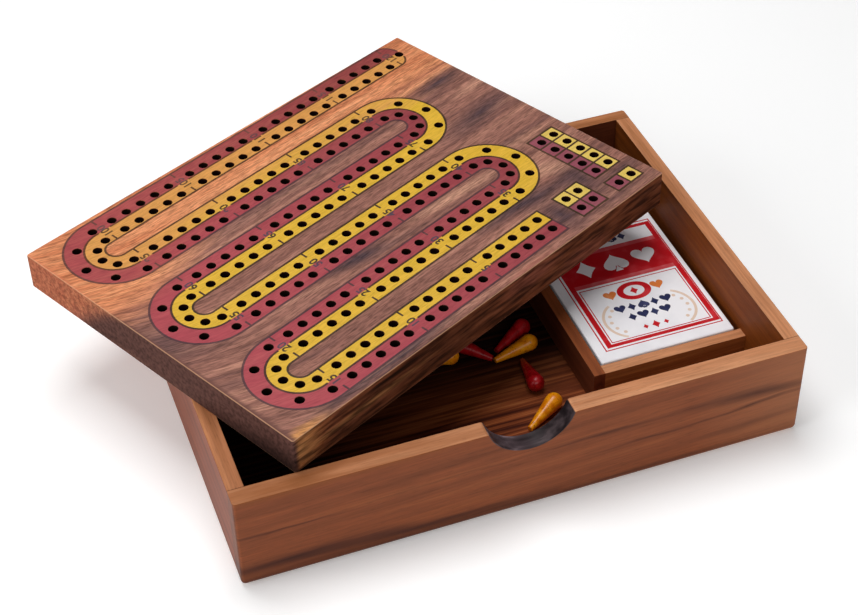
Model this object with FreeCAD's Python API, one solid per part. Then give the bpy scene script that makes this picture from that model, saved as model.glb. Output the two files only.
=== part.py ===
import FreeCAD, Part
import math
import os

from FreeCAD import Placement, Rotation, Vector

# Cribbage box: an open wooden tray with a pocket for a pack of cards, six loose pegs, and a thick
# board that is both the lid and the scoring board. The board is modelled off the box, turned and
# lying across the rim. Millimetres, +Z up. The origin is the centre of the box's underside, +X runs
# along the front wall to the right and +Y runs from the front wall to the back wall.

# ---- Box ----------------------------------------------------------------------------------------
box_length = 250.0
box_depth = 185.3
side_wall = 7.0
front_wall = 8.2
back_wall = 6.6
floor_thickness = 8.0
corner_radius = 1.5          # outer upright corners
foot_radius = 2.8            # outer bottom edges
rim_radius = 0.4             # outer top edges

# Finger notch in the front wall's top edge, part of a circle
notch_half_width = 18.5
notch_depth = 13.8
notch_lip_radius = 2.0

# ---- Card pocket: three strips glued to the floor, against the right wall -------------------------
divider_thickness = 5.2
divider_height = 16.8        # above the floor
pocket_gap_left = 0.9        # beside the pack, towards the strip
pocket_gap_right = 2.6       # beside the pack, towards the right wall
pocket_gap_front = 0.3
pocket_slack = 8.5           # free length behind the pack

# ---- Pack of cards --------------------------------------------------------------------------------
card_width = 63.0
card_length = 88.0
card_thickness = 0.29
card_corner_radius = 3.2
card_count = 54
card_side_gap = 0.1          # between the cards and the carton, to each side
card_front_gap = 0.6
card_back_gap = 1.6
card_headroom = 0.75         # between the top card and the carton's tongue
carton_board = 0.4           # the folded board's thickness
tongue_length = 14.0
tongue_side_gap = 0.4        # between the tongue and the carton's side, to each side
thumb_radius = 9.0

# ---- Lid board ------------------------------------------------------------------------------------
lid_thickness = 17.9
lid_gap_x = 2.4              # to each side wall when the lid is shut
lid_gap_y = 1.3              # to the front and back walls when the lid is shut
lid_corner_radius = 1.0
lid_edge_radius = 0.5
lid_foot_radius = 0.9        # its underside's edges
lid_headroom = 4.6           # above the pack of cards when the lid is shut
lid_turn = 26.6              # degrees, how far the loose lid is turned on the rim
lid_corner_from_left = 27.8  # its nearest corner, from the box's left face
lid_corner_bearing = 0.85    # how far that corner reaches onto the front wall
rest_leg = 12.0              # corner rests that hold the shut lid level with the rim

# ---- Peg holes, laid out from the lid's nearest corner --------------------------------------------
hole_radius = 2.2
hole_depth = 10.0
lane_width = 8.87            # one player's lane
margin_left = 8.1
margin_right = 5.8
margin_front = 4.8
margin_back = 5.0
track_skew = 0.6             # degrees, the drilled track's turn on the board
straight_count = 6
groups_per_straight = 3
holes_per_group = 5
group_gap = 12.7             # between the end holes of neighbouring groups
turn_gap = 11.0              # between a turn's end hole and the next group
start_gap = 9.0              # from the right-hand turns' centres to the first start hole
start_columns = 2
counter_width = 17.2         # the games counter, two columns wide
counter_gap = 7.3            # from the right-hand turns to the counter
counter_pitch = 8.05
counter_rows = 5
counter_row_start = 16.65    # first row, above the front margin
counter_pair_start = 3.3     # the odd pair, above the front margin

# ---- Pegs -----------------------------------------------------------------------------------------
peg_length = 22.0
peg_head_radius = 3.9
peg_tip_radius = 1.35
rest_gap = 0.05              # under a round piece that lies on the floor

# Each peg's head centre, measured left from the card pocket's strip and back from the front wall,
# and the heading of its tip in degrees
peg_places = {
    "red_peg_1": (19.7, 47.9, 87.0),
    "red_peg_2": (11.5, 84.3, -152.0),
    "red_peg_3": (43.3, 84.6, -45.0),
    "yellow_peg_1": (16.9, 34.4, -147.0),
    "yellow_peg_2": (12.4, 73.4, -170.0),
    "yellow_peg_3": (48.7, 77.6, 165.0),
}

# ---- Derived sizes --------------------------------------------------------------------------------
pack_width = card_width + 2 * (card_side_gap + carton_board)
pack_length = card_length + card_front_gap + card_back_gap + 2 * carton_board
pack_thickness = card_count * card_thickness + card_headroom + 3 * carton_board
box_height = floor_thickness + pack_thickness + lid_headroom + lid_thickness

x_left, x_right = -box_length / 2, box_length / 2
y_front, y_back = -box_depth / 2, box_depth / 2
inside_left, inside_right = x_left + side_wall, x_right - side_wall
inside_front, inside_back = y_front + front_wall, y_back - back_wall
inside_middle = (inside_front + inside_back) / 2

lid_length = inside_right - inside_left - 2 * lid_gap_x
lid_width = inside_back - inside_front - 2 * lid_gap_y
rest_top = box_height - lid_thickness

pocket_width = pocket_gap_left + pack_width + pocket_gap_right
pocket_length = pocket_gap_front + pack_length + pocket_slack
pocket_left = inside_right - pocket_width
pocket_front = inside_middle - pocket_length / 2
pocket_back = inside_middle + pocket_length / 2
strip_left = pocket_left - divider_thickness
divider_top = floor_thickness + divider_height

pack_left = pocket_left + pocket_gap_left
pack_front = pocket_front + pocket_gap_front


def block(x0, x1, y0, y1, z0, z1):
    """A box between two corners."""
    return Part.makeBox(x1 - x0, y1 - y0, z1 - z0, Vector(x0, y0, z0))


def edges_where(shape, test):
    """The edges whose every vertex passes a test of its point."""
    return [edge for edge in shape.Edges if all(test(vertex.Point) for vertex in edge.Vertexes)]


def is_upright(edge):
    """True for a straight edge that runs along Z."""
    ends = edge.Vertexes
    return len(ends) == 2 and math.hypot(ends[0].X - ends[1].X, ends[0].Y - ends[1].Y) < 1e-6


def rounded_slab(x0, x1, y0, y1, z0, z1, corner, bottom, top):
    """A box with rounded upright corners and rounded bottom and top edges."""
    slab = block(x0, x1, y0, y1, z0, z1)
    slab = slab.makeFillet(corner, [edge for edge in slab.Edges if is_upright(edge)])
    slab = slab.makeFillet(bottom, edges_where(slab, lambda point: abs(point.z - z0) < 1e-6))
    return slab.makeFillet(top, edges_where(slab, lambda point: abs(point.z - z1) < 1e-6))


# ---- Walls, floor and rests -----------------------------------------------------------------------
def make_walls():
    """Four butt-jointed walls cut from one rounded outline, with the front and back full length."""
    outline = rounded_slab(
        x_left, x_right, y_front, y_back, 0, box_height, corner_radius, foot_radius, rim_radius)
    spans = {
        "front_wall": (x_left, x_right, y_front, inside_front),
        "back_wall": (x_left, x_right, inside_back, y_back),
        "left_wall": (x_left, inside_left, inside_front, inside_back),
        "right_wall": (inside_right, x_right, inside_front, inside_back),
    }
    walls = {name: outline.common(block(*span, 0, box_height)) for name, span in spans.items()}
    walls["front_wall"] = cut_finger_notch(walls["front_wall"])
    return walls


def cut_finger_notch(wall):
    """Scoop the finger notch out of the front wall, with its two lips eased over."""
    radius = (notch_half_width ** 2 + notch_depth ** 2) / (2 * notch_depth)
    centre_z = box_height - notch_depth + radius
    y = y_front - front_wall
    drop = centre_z - box_height + notch_lip_radius
    lip_x = math.sqrt((radius + notch_lip_radius) ** 2 - drop ** 2)
    meet_x = lip_x * radius / (radius + notch_lip_radius)
    meet_z = centre_z - drop * radius / (radius + notch_lip_radius)
    turn = math.atan2(drop, lip_x) + (math.pi / 2 - math.atan2(drop, lip_x)) / 2
    crest_x = lip_x - notch_lip_radius * math.cos(turn)
    crest_z = box_height - notch_lip_radius + notch_lip_radius * math.sin(turn)

    def lip(side):
        return Part.Arc(Vector(side * meet_x, y, meet_z), Vector(side * crest_x, y, crest_z),
                        Vector(side * lip_x, y, box_height)).toShape()

    bowl = Part.Arc(Vector(-meet_x, y, meet_z), Vector(0, y, box_height - notch_depth),
                    Vector(meet_x, y, meet_z)).toShape()
    over = Part.makePolygon([
        Vector(-lip_x, y, box_height), Vector(-lip_x, y, centre_z),
        Vector(lip_x, y, centre_z), Vector(lip_x, y, box_height)])
    outline = Part.Wire([lip(-1)] + over.Edges + [lip(1), bowl])
    return wall.cut(Part.Face(outline).extrude(Vector(0, 3 * front_wall, 0)))


def make_floor():
    """The floor panel, glued between the walls and flush with their bottom edges."""
    return block(inside_left, inside_right, inside_front, inside_back, 0, floor_thickness)


def make_corner_rest(corner_x, corner_y, step_x, step_y):
    """A three-cornered glue block in one inside corner."""
    corner = Vector(corner_x, corner_y, floor_thickness)
    along_x = corner + Vector(step_x * rest_leg, 0, 0)
    along_y = corner + Vector(0, step_y * rest_leg, 0)
    face = Part.Face(Part.makePolygon([corner, along_x, along_y, corner]))
    return face.extrude(Vector(0, 0, rest_top - floor_thickness))


def make_rests():
    """One rest in each inside corner."""
    return {
        "corner_rest_front_left": make_corner_rest(inside_left, inside_front, 1, 1),
        "corner_rest_front_right": make_corner_rest(inside_right, inside_front, -1, 1),
        "corner_rest_back_left": make_corner_rest(inside_left, inside_back, 1, -1),
        "corner_rest_back_right": make_corner_rest(inside_right, inside_back, -1, -1),
    }


def make_dividers():
    """The card pocket's side strip, and the front and back strips that butt against it."""
    ends = (floor_thickness, divider_top)
    outer_front = pocket_front - divider_thickness
    outer_back = pocket_back + divider_thickness
    return {
        "divider_side": block(strip_left, pocket_left, outer_front, outer_back, *ends),
        "divider_front": block(pocket_left, inside_right, outer_front, pocket_front, *ends),
        "divider_back": block(pocket_left, inside_right, pocket_back, outer_back, *ends),
    }


# ---- Pack of cards --------------------------------------------------------------------------------
def make_tuck_box():
    """The carton: a folded sleeve, closed in front and open behind, with a thumb cut on top."""
    x0, x1 = pack_left, pack_left + pack_width
    y0, y1 = pack_front, pack_front + pack_length - carton_board
    z0, z1 = floor_thickness, floor_thickness + pack_thickness
    sleeve = block(x0, x1, y0, y1, z0, z1)
    mouth = edges_where(sleeve, lambda point: abs(point.y - y1) < 1e-6)
    folds = [edge for edge in sleeve.Edges if not any(edge.isSame(other) for other in mouth)]
    sleeve = sleeve.makeFillet(2 * carton_board, folds)
    inside = block(x0 + carton_board, x1 - carton_board, y0 + carton_board, y1 + carton_board,
                   z0 + carton_board, z1 - carton_board)
    thumb = Part.makeCylinder(thumb_radius, 2 * carton_board,
                              Vector((x0 + x1) / 2, y1, z1 - 1.5 * carton_board))
    return sleeve.cut(inside).cut(thumb)


def make_tuck_flap():
    """The carton's end panel and the tongue that tucks in under its top."""
    x0, x1 = pack_left + 2 * carton_board, pack_left + pack_width - 2 * carton_board
    y1 = pack_front + pack_length
    z0, z1 = floor_thickness + carton_board, floor_thickness + pack_thickness - carton_board
    panel = block(x0, x1, y1 - carton_board, y1, z0, z1)
    inset = carton_board + tongue_side_gap
    tongue = block(pack_left + inset, pack_left + pack_width - inset, y1 - tongue_length,
                   y1 - carton_board, z1 - carton_board, z1)
    return panel.fuse(tongue).removeSplitter()


def make_cards():
    """The cards, squared up in the carton."""
    x0 = pack_left + carton_board + card_side_gap
    y0 = pack_front + carton_board + card_front_gap
    z0 = floor_thickness + carton_board
    card = block(x0, x0 + card_width, y0, y0 + card_length, z0, z0 + card_thickness)
    card = card.makeFillet(card_corner_radius, [edge for edge in card.Edges if is_upright(edge)])
    cards = []
    for number in range(card_count):
        cards.append(card.translated(Vector(0, 0, number * card_thickness)))
    return Part.makeCompound(cards)


# ---- Lid board ------------------------------------------------------------------------------------
def straight_lines():
    """The line between the two lanes of each straight, from the front margin to the back one."""
    first = margin_front + lane_width
    pitch = (lid_width - margin_front - margin_back - 2 * lane_width) / (straight_count - 1)
    return [first + number * pitch for number in range(straight_count)]


def peg_hole_points():
    """The hole centres on the board, in the track's own axes from the lid's nearest corner."""
    lines = straight_lines()
    turn_radius = (lines[1] - lines[0]) / 2
    half_lane = lane_width / 2
    turn_left = margin_left + turn_radius + lane_width
    counter_left = lid_length - margin_right - counter_width
    turn_right = counter_left - counter_gap - turn_radius - lane_width
    gaps = (groups_per_straight - 1) * group_gap + 2 * turn_gap
    steps = groups_per_straight * (holes_per_group - 1)
    pitch = (turn_right - turn_left - gaps) / steps
    group_pitch = (holes_per_group - 1) * pitch + group_gap

    columns = []
    for group in range(groups_per_straight):
        first = turn_left + turn_gap + group * group_pitch
        columns += [first + number * pitch for number in range(holes_per_group)]
    last_group = [turn_right + number * pitch for number in range(holes_per_group)]

    points = []
    for number, line in enumerate(lines):
        reach = columns + last_group if number == straight_count - 1 else columns
        for lane in (-half_lane, half_lane):
            points += [(column, line + lane) for column in reach]
    for number in range(straight_count - 1):
        centre = lines[number] + turn_radius
        at, side = (turn_left, -1) if number % 2 == 0 else (turn_right, 1)
        for radius in (turn_radius - half_lane, turn_radius + half_lane):
            for step in range(holes_per_group):
                angle = math.pi * (step / (holes_per_group - 1) - 0.5)
                points.append((at + side * radius * math.cos(angle), centre + radius * math.sin(angle)))
    points.append((last_group[-1] + turn_gap, lines[-1]))

    for column in range(start_columns):
        at = turn_right + start_gap + column * pitch
        points += [(at, lines[0] - half_lane), (at, lines[0] + half_lane)]
    counter_lines = [margin_front + counter_row_start + row * counter_pitch for row in range(counter_rows)]
    for line in [margin_front + counter_pair_start] + counter_lines:
        points += [(counter_left + counter_width / 4, line), (counter_left + 3 * counter_width / 4, line)]
    return points


def make_lid():
    """The solid board with its blind peg holes, lying turned across the rim."""
    board = rounded_slab(
        0, lid_length, 0, lid_width, 0, lid_thickness, lid_corner_radius, lid_foot_radius, lid_edge_radius)
    skew = math.radians(track_skew)
    drills = []
    for along, across in peg_hole_points():
        at = Vector(along * math.cos(skew) - across * math.sin(skew),
                    along * math.sin(skew) + across * math.cos(skew),
                    lid_thickness - hole_depth)
        drills.append(Part.makeCylinder(hole_radius, 2 * hole_depth, at))
    board = board.cut(Part.makeCompound(drills))
    corner = Vector(x_left + lid_corner_from_left, inside_front - lid_corner_bearing, box_height)
    board.Placement = Placement(corner, Rotation(Vector(0, 0, 1), lid_turn))
    return board


# ---- Pegs -----------------------------------------------------------------------------------------
def make_peg(left_of_strip, behind_front, heading):
    """A drop-shaped peg, turned about its axis, lying on the floor on its side."""
    reach = peg_length - peg_head_radius
    touch = math.atan2(peg_tip_radius, reach)
    touch += math.acos(peg_head_radius / math.hypot(reach, peg_tip_radius))
    taper = math.degrees(math.pi / 2 - touch)
    crown = Vector(-peg_head_radius, 0, 0)
    shoulder = Vector(0, 0, peg_head_radius)
    tangent = Vector(peg_head_radius * math.cos(touch), 0, peg_head_radius * math.sin(touch))
    tip = Vector(reach, 0, peg_tip_radius)
    tip_centre = Vector(reach, 0, 0)
    outline = Part.Wire([
        Part.Arc(crown, shoulder, tangent).toShape(),
        Part.LineSegment(tangent, tip).toShape(),
        Part.LineSegment(tip, tip_centre).toShape(),
        Part.LineSegment(tip_centre, crown).toShape(),
    ])
    peg = Part.Face(outline).revolve(Vector(0, 0, 0), Vector(1, 0, 0), 360)
    at = Vector(strip_left - left_of_strip, inside_front + behind_front,
                floor_thickness + peg_head_radius + rest_gap)
    lie = Rotation(Vector(0, 0, 1), heading).multiply(Rotation(Vector(0, 1, 0), taper))
    peg.Placement = Placement(at, lie)
    return peg


def make_pegs():
    """Three red and three yellow pegs, loose on the floor."""
    return {name: make_peg(*place) for name, place in peg_places.items()}


# ---- Assembly -------------------------------------------------------------------------------------
def make_nodes():
    """Every piece by its node name."""
    nodes = make_walls()
    nodes["floor_panel"] = make_floor()
    nodes.update(make_rests())
    nodes.update(make_dividers())
    nodes["tuck_box"] = make_tuck_box()
    nodes["tuck_flap"] = make_tuck_flap()
    nodes["playing_cards"] = make_cards()
    nodes["lid_board"] = make_lid()
    nodes.update(make_pegs())
    return nodes


def write_parts():
    """One STEP file per node."""
    os.makedirs("parts", exist_ok=True)
    for name, shape in make_nodes().items():
        shape.exportStep(f"parts/{name}.step")
        box = shape.BoundBox
        print(f"{name:26s} solids {len(shape.Solids):3d} valid {shape.isValid()} "
              f"volume {shape.Volume:12.1f}  x {box.XMin:8.2f} {box.XMax:8.2f} "
              f"y {box.YMin:8.2f} {box.YMax:8.2f} z {box.ZMin:7.2f} {box.ZMax:7.2f}")


write_parts()
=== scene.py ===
# %% [markdown]
# # A cribbage box in wood, print and paint
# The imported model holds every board, peg and card at its real size. This lesson dresses it: hardwood
# for the box, a streaky board with printed lanes for the lid, gloss paint for the pegs and coated
# card for the pack. Each step says what the real thing is and why it is made this way.

# %% Load the frame
import math
import bmesh
import bpy
from mathutils import Matrix, Vector


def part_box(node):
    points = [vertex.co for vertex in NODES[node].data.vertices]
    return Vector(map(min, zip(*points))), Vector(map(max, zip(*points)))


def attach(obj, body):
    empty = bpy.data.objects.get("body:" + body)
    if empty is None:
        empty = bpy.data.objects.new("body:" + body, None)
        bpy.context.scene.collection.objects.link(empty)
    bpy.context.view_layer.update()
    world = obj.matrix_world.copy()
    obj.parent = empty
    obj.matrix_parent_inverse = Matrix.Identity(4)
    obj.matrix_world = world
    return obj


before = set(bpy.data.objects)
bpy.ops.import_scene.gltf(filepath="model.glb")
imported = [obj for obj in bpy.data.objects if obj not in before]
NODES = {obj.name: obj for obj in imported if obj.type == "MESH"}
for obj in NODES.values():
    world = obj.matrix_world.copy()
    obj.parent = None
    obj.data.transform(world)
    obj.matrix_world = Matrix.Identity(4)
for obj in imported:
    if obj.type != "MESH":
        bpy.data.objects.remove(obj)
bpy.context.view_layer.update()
MM = 0.001
print("pieces in the frame:", len(NODES))

# %% [markdown]
# ## Camera
# A long lens from well above the front left corner keeps the board's straights almost parallel.

# %% Camera
CAMERA_PLACE = Vector((-209.2, -567.5, 565.5)) * MM
CAMERA_TURN = [math.radians(angle) for angle in (48.71, 0.91, -20.08)]
CAMERA_LENS = 76.26

camera_data = bpy.data.cameras.new("camera")
camera_data.lens = CAMERA_LENS
camera_data.sensor_width = 36.0
camera = bpy.data.objects.new("camera", camera_data)
camera.location = CAMERA_PLACE
camera.rotation_euler = CAMERA_TURN
bpy.context.scene.collection.objects.link(camera)
bpy.context.scene.camera = camera
print(f"camera {CAMERA_PLACE.length:.2f} m away, {CAMERA_LENS} mm lens")

# %% [markdown]
# ## Colours and nodes
# Paint charts give colours as sRGB hex values, but shaders add light in linear values, so one
# function turns the first into the second. One more adds a shader node, sets it, links it, fills a
# colour ramp, and hands back the output that the next node needs. Every material below is a chain of
# such calls, and each call names its node as the node editor does.

# %% Helpers for materials
def linear(hex_colour):
    """An sRGB hex colour as linear RGBA."""
    channels = [int(hex_colour[at:at + 2], 16) / 255 for at in (1, 3, 5)]
    return tuple(c / 12.92 if c < 0.04045 else ((c + 0.055) / 1.055) ** 2.4 for c in channels) + (1.0,)


def add(tree, kind, inputs=None, out=0, stops=(), **settings):
    """Add a shader node with its settings, inputs and ramp stops, and return one of its outputs."""
    node = tree.nodes.new("ShaderNode" + kind)
    for name, value in settings.items():
        setattr(node, name, value)
    for key, value in (inputs or {}).items():
        if isinstance(value, bpy.types.NodeSocket):
            tree.links.new(value, node.inputs[key])
        else:
            node.inputs[key].default_value = value
    if stops:
        elements = node.color_ramp.elements
        while len(elements) < len(stops):
            elements.new(0.5)
        for element, (position, colour) in zip(elements, stops):
            element.position = position
            element.color = linear(colour)
    return node.outputs[out] if out is not None else node.outputs


def new_material(name):
    """An empty node material and its tree."""
    material = bpy.data.materials.new(name)
    material.use_nodes = True
    material.node_tree.nodes.clear()
    return material, material.node_tree


def surface(tree, inputs):
    """Close a material with the standard surface shader."""
    add(tree, "OutputMaterial", {"Surface": add(tree, "BsdfPrincipled", inputs)}, out=None)


print(f"mid grey #808080 is {linear('#808080')[0]:.3f} in linear light")

# %% [markdown]
# ## The lid's own axes
# The lid lies turned on the rim, and its grain, its lanes and its numbers turn with it. Every point
# on it is easiest to give along and across the board, from the corner nearest the viewer. The
# corner is measured from the lid's own mesh: the lowest reach along each of its two directions.

# %% Lid axes
LID_TURN = math.radians(26.6)
TRACK_SKEW = math.radians(0.6)
along = Vector((math.cos(LID_TURN), math.sin(LID_TURN), 0))
across = Vector((-math.sin(LID_TURN), math.cos(LID_TURN), 0))
lid_points = [vertex.co for vertex in NODES["lid_board"].data.vertices]
LID_CORNER = along * min(p.dot(along) for p in lid_points)
LID_CORNER += across * min(p.dot(across) for p in lid_points)
LID_LENGTH = max(p.dot(along) for p in lid_points) - LID_CORNER.dot(along)
LID_WIDTH = max(p.dot(across) for p in lid_points) - LID_CORNER.dot(across)
LID_BOTTOM, LID_TOP = (corner.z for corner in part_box("lid_board"))
print(f"lid {LID_LENGTH / MM:.1f} x {LID_WIDTH / MM:.1f} mm, top at {LID_TOP / MM:.2f} mm")

# %% [markdown]
# ## Hardwood
# The box is a red-brown tropical hardwood, planed, sanded and sealed with a satin clear coat. Three
# things read as wood: wide soft bands where growth was fast or slow, fine fibre a fraction of a
# millimetre wide, and short dark pores that lie along it. Each is a noise stretched along the
# grain. Sawn across, the same solid pattern shows as darker, speckled end grain. Real fibres are about
# 0.1 mm wide and pores 0.3 mm, both too fine to show, so they are drawn a little coarser.

# %% Grain
BAND_LENGTH, BAND_WIDTH = 150 * MM, 5 * MM
PORE_LENGTH, PORE_WIDTH = 5 * MM, 0.42 * MM
PORE_DARK, PORE_SINK = 1.6, 0.6
NOISE_LOW, NOISE_HIGH = 0.36, 0.64  # nearly all of a detailed noise lies between these
FIBRE_LOW, FIBRE_HIGH = 0.2, 0.8  # and all of the bump height between these


def stretched_noise(tree, point, length, width, detail, distortion=0.0):
    """Noise drawn out along X, as (length, width, width)."""
    scaled = add(tree, "Mapping", {"Vector": point, "Scale": (1 / length, 1 / width, 1 / width)})
    return add(tree, "TexNoise", {"Vector": scaled, "Scale": 1.0, "Detail": detail,
                                  "Distortion": distortion})


def grain(tree, point, length, width, contrast):
    """Fibre brightness around 1 and a height for the bump, from a point with X along the grain."""
    fibre = stretched_noise(tree, point, length, width, 4.0)
    specks = stretched_noise(tree, point, PORE_LENGTH, PORE_WIDTH, 1.0)
    pores = add(tree, "MapRange", {"Value": specks, "From Min": 0.6, "From Max": 0.72})
    light = add(tree, "MapRange", {"Value": fibre, "From Min": NOISE_LOW, "From Max": NOISE_HIGH,
                                   "To Min": 1 - contrast, "To Max": 1 + contrast})
    dark = add(tree, "Math", {0: pores, 1: -PORE_DARK * contrast, 2: 1.0}, operation="MULTIPLY_ADD")
    brightness = add(tree, "Math", {0: light, 1: dark}, operation="MULTIPLY")
    return brightness, add(tree, "Math", {0: pores, 1: -PORE_SINK, 2: fibre}, operation="MULTIPLY_ADD")


def shaded(tree, colour, brightness):
    """A colour made lighter or darker by a brightness around 1."""
    grey = add(tree, "CombineXYZ", {"X": brightness, "Y": brightness, "Z": brightness})
    return add(tree, "Mix", {0: 1.0, 6: colour, 7: grey}, out=2, data_type="RGBA", blend_type="MULTIPLY")


print(f"growth bands {BAND_WIDTH / MM:.1f} mm wide, pores {PORE_WIDTH / MM:.2f} mm wide")

# %% [markdown]
# A finish often depends on where a face looks: a top is paler, an end is darker. The share of the
# normal along a direction tells that. Single dark streaks catch the eye, so those are placed one by
# one. A mark is a long soft ellipse: a spherical gradient round a point that a Mapping node has
# moved, turned and stretched.

# %% Faces and marks
FACING = 0.7
FAR = 1000.0  # metres: a mark goes in as deep as that, so it has no end under the face
WAVE_DEPTH = 5 * MM  # how far the wood's waves push the edge of a mark


def looking(tree, direction):
    """How far a face looks along a direction, from 1 to -1."""
    normal = add(tree, "TexCoord", out=1)
    return add(tree, "VectorMath", {0: normal, 1: direction}, out=1, operation="DOT_PRODUCT")


def facing(tree, direction):
    """1 on faces that look along a direction or against it, 0 elsewhere."""
    amount = add(tree, "Math", {0: looking(tree, direction)}, operation="ABSOLUTE")
    return add(tree, "Math", {0: amount, 1: FACING}, operation="GREATER_THAN")


def marked(tree, colour, point, marks, tone):
    """Long soft marks: (along, across, half length, half width, slope in degrees, strength), in mm."""
    for at_along, at_across, half_length, half_width, slope, strength in marks:
        spot = add(tree, "Mapping", {"Vector": point, "Location": (at_along * MM, at_across * MM, 0),
                                     "Rotation": (0, 0, math.radians(slope)),
                                     "Scale": (half_length * MM, half_width * MM, FAR)},
                   vector_type="TEXTURE")
        blot = add(tree, "TexGradient", {"Vector": spot}, gradient_type="SPHERICAL")
        share = add(tree, "Math", {0: blot, 1: strength}, operation="MULTIPLY", use_clamp=True)
        colour = add(tree, "Mix", {0: share, 6: colour, 7: linear(tone)}, out=2, data_type="RGBA")
    return colour


print(f"a face looks along a direction within {math.degrees(math.acos(FACING)):.0f} degrees of it")

# %% [markdown]
# ## The box's boards
# All boards come from one stock, so they share one material function. The planed sides are
# red-brown. The rims and the strips' tops were sanded last and are paler. Where a board's end butts
# against another, a hair of dark glue line shows. The satin coat gives the eye a soft, wide shine
# and no mirror, so the roughness is 0.5 and the specular level is low.

# %% Box boards
SIDE_TONES = [(0.28, "#733B1E"), (0.44, "#7F4223"), (0.56, "#864625"), (0.74, "#8D4E2A")]
PALE_TONES = [(0.28, "#9B6038"), (0.46, "#AE6F48"), (0.60, "#BC7D53"), (0.76, "#C78A5E")]
RIM_TONES = [(0.28, "#AC7048"), (0.46, "#BC7E57"), (0.60, "#CB8E66"), (0.76, "#D59D76")]
DUSTY_TONES = [(0.28, "#6C341C"), (0.44, "#7B3C22"), (0.56, "#824126"), (0.74, "#8C4A2C")]
DEEP_TONES = [(0.28, "#482010"), (0.44, "#5A2A17"), (0.56, "#612F1B"), (0.74, "#6B3821")]
RICH_TONES = [(0.28, "#5C2B0C"), (0.44, "#703812"), (0.56, "#7B3E15"), (0.74, "#874A1A")]
AMBER_TONES = [(0.28, "#844C25"), (0.44, "#A26031"), (0.56, "#AF6937"), (0.74, "#BF7B41")]
# SHADY_TONES are pale tops darkened as painted shade, for tops near or under the lid.
SHADY_TONES = [(0.28, "#945C37"), (0.46, "#A76B46"), (0.60, "#B57850"), (0.76, "#BF855B")]
GLUE_TONE = "#3A1C10"
END_TONE = 0.72
# The side strip's end is made 1.7 times brighter, where other ends are darker: painted light.
PAINTED_LIGHT_ENDS = {"divider_side": 1.7}
# Painted shade: on the back and right walls, faces that look into the box take darker tones, as the
# lid's shade.
SHADED_INSIDES = {"back_wall": ((0, -1, 0), DEEP_TONES), "right_wall": ((-1, 0, 0), RICH_TONES)}
GRAIN_SLOPE = math.radians(2)
FIBRE_LENGTH, FIBRE_WIDTH, FIBRE_CONTRAST = 22 * MM, 0.9 * MM, 0.12
GLUE_LINE = 0.22 * MM


def board_colour(tree, turn, shift, side_tones, pale_tones, end_tone=END_TONE, inside=None):
    """The colour and bump height of one board, its grain turned about Z, and the point's parts."""
    place = add(tree, "TexCoord", out=3)
    point = add(tree, "Mapping", {"Vector": place, "Location": shift,
                                  "Rotation": (0.0, GRAIN_SLOPE, -turn)})
    bands = stretched_noise(tree, point, BAND_LENGTH, BAND_WIDTH, 4.0, 0.3)
    brightness, height = grain(tree, point, FIBRE_LENGTH, FIBRE_WIDTH, FIBRE_CONTRAST)
    ends = facing(tree, (math.cos(turn), math.sin(turn), 0))
    dimmed = add(tree, "Math", {0: ends, 1: end_tone - 1, 2: brightness}, operation="MULTIPLY_ADD")
    sides = add(tree, "ValToRGB", {0: bands}, stops=side_tones)
    # An inner face in the lid's shade takes the darker tones: painted shade.
    if inside:
        direction, tones = inside
        inward = add(tree, "Math", {0: looking(tree, direction), 1: FACING}, operation="GREATER_THAN")
        inner = add(tree, "ValToRGB", {0: bands}, stops=tones)
        sides = add(tree, "Mix", {0: inward, 6: sides, 7: inner}, out=2, data_type="RGBA")
    pale = add(tree, "ValToRGB", {0: bands}, stops=pale_tones)
    colour = add(tree, "Mix", {0: facing(tree, (0, 0, 1)), 6: sides, 7: pale}, out=2, data_type="RGBA")
    return shaded(tree, colour, dimmed), height, add(tree, "SeparateXYZ", {0: place}, out=None)


def glued_ends(tree, colour, reach, low, high):
    """A dark line where a board's ends butt against its neighbours."""
    middle = add(tree, "Math", {0: reach, 1: (low + high) / 2}, operation="SUBTRACT")
    away = add(tree, "Math", {0: middle}, operation="ABSOLUTE")
    seam = add(tree, "Math", {0: away, 1: (high - low) / 2 - GLUE_LINE}, operation="GREATER_THAN")
    return add(tree, "Mix", {0: seam, 6: colour, 7: linear(GLUE_TONE)}, out=2, data_type="RGBA")


def board_material(node, turn, shift, side_tones, pale_tones):
    """Planed hardwood with a satin clear coat."""
    material, tree = new_material("hardwood_" + node)
    colour, height, parts = board_colour(tree, turn, shift, side_tones, pale_tones,
                                         PAINTED_LIGHT_ENDS.get(node, END_TONE), SHADED_INSIDES.get(node))
    if node in ("left_wall", "right_wall"):
        low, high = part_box(node)
        colour = glued_ends(tree, colour, parts[1], low.y, high.y)
    bump = add(tree, "Bump", {"Height": height, "Strength": 0.2, "Distance": 0.06 * MM})
    surface(tree, {"Base Color": colour, "Roughness": 0.5, "Normal": bump,
                   "Specular IOR Level": 0.14})
    return material


print("grain slopes", round(math.degrees(GRAIN_SLOPE)), "degrees down to one side")
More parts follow.
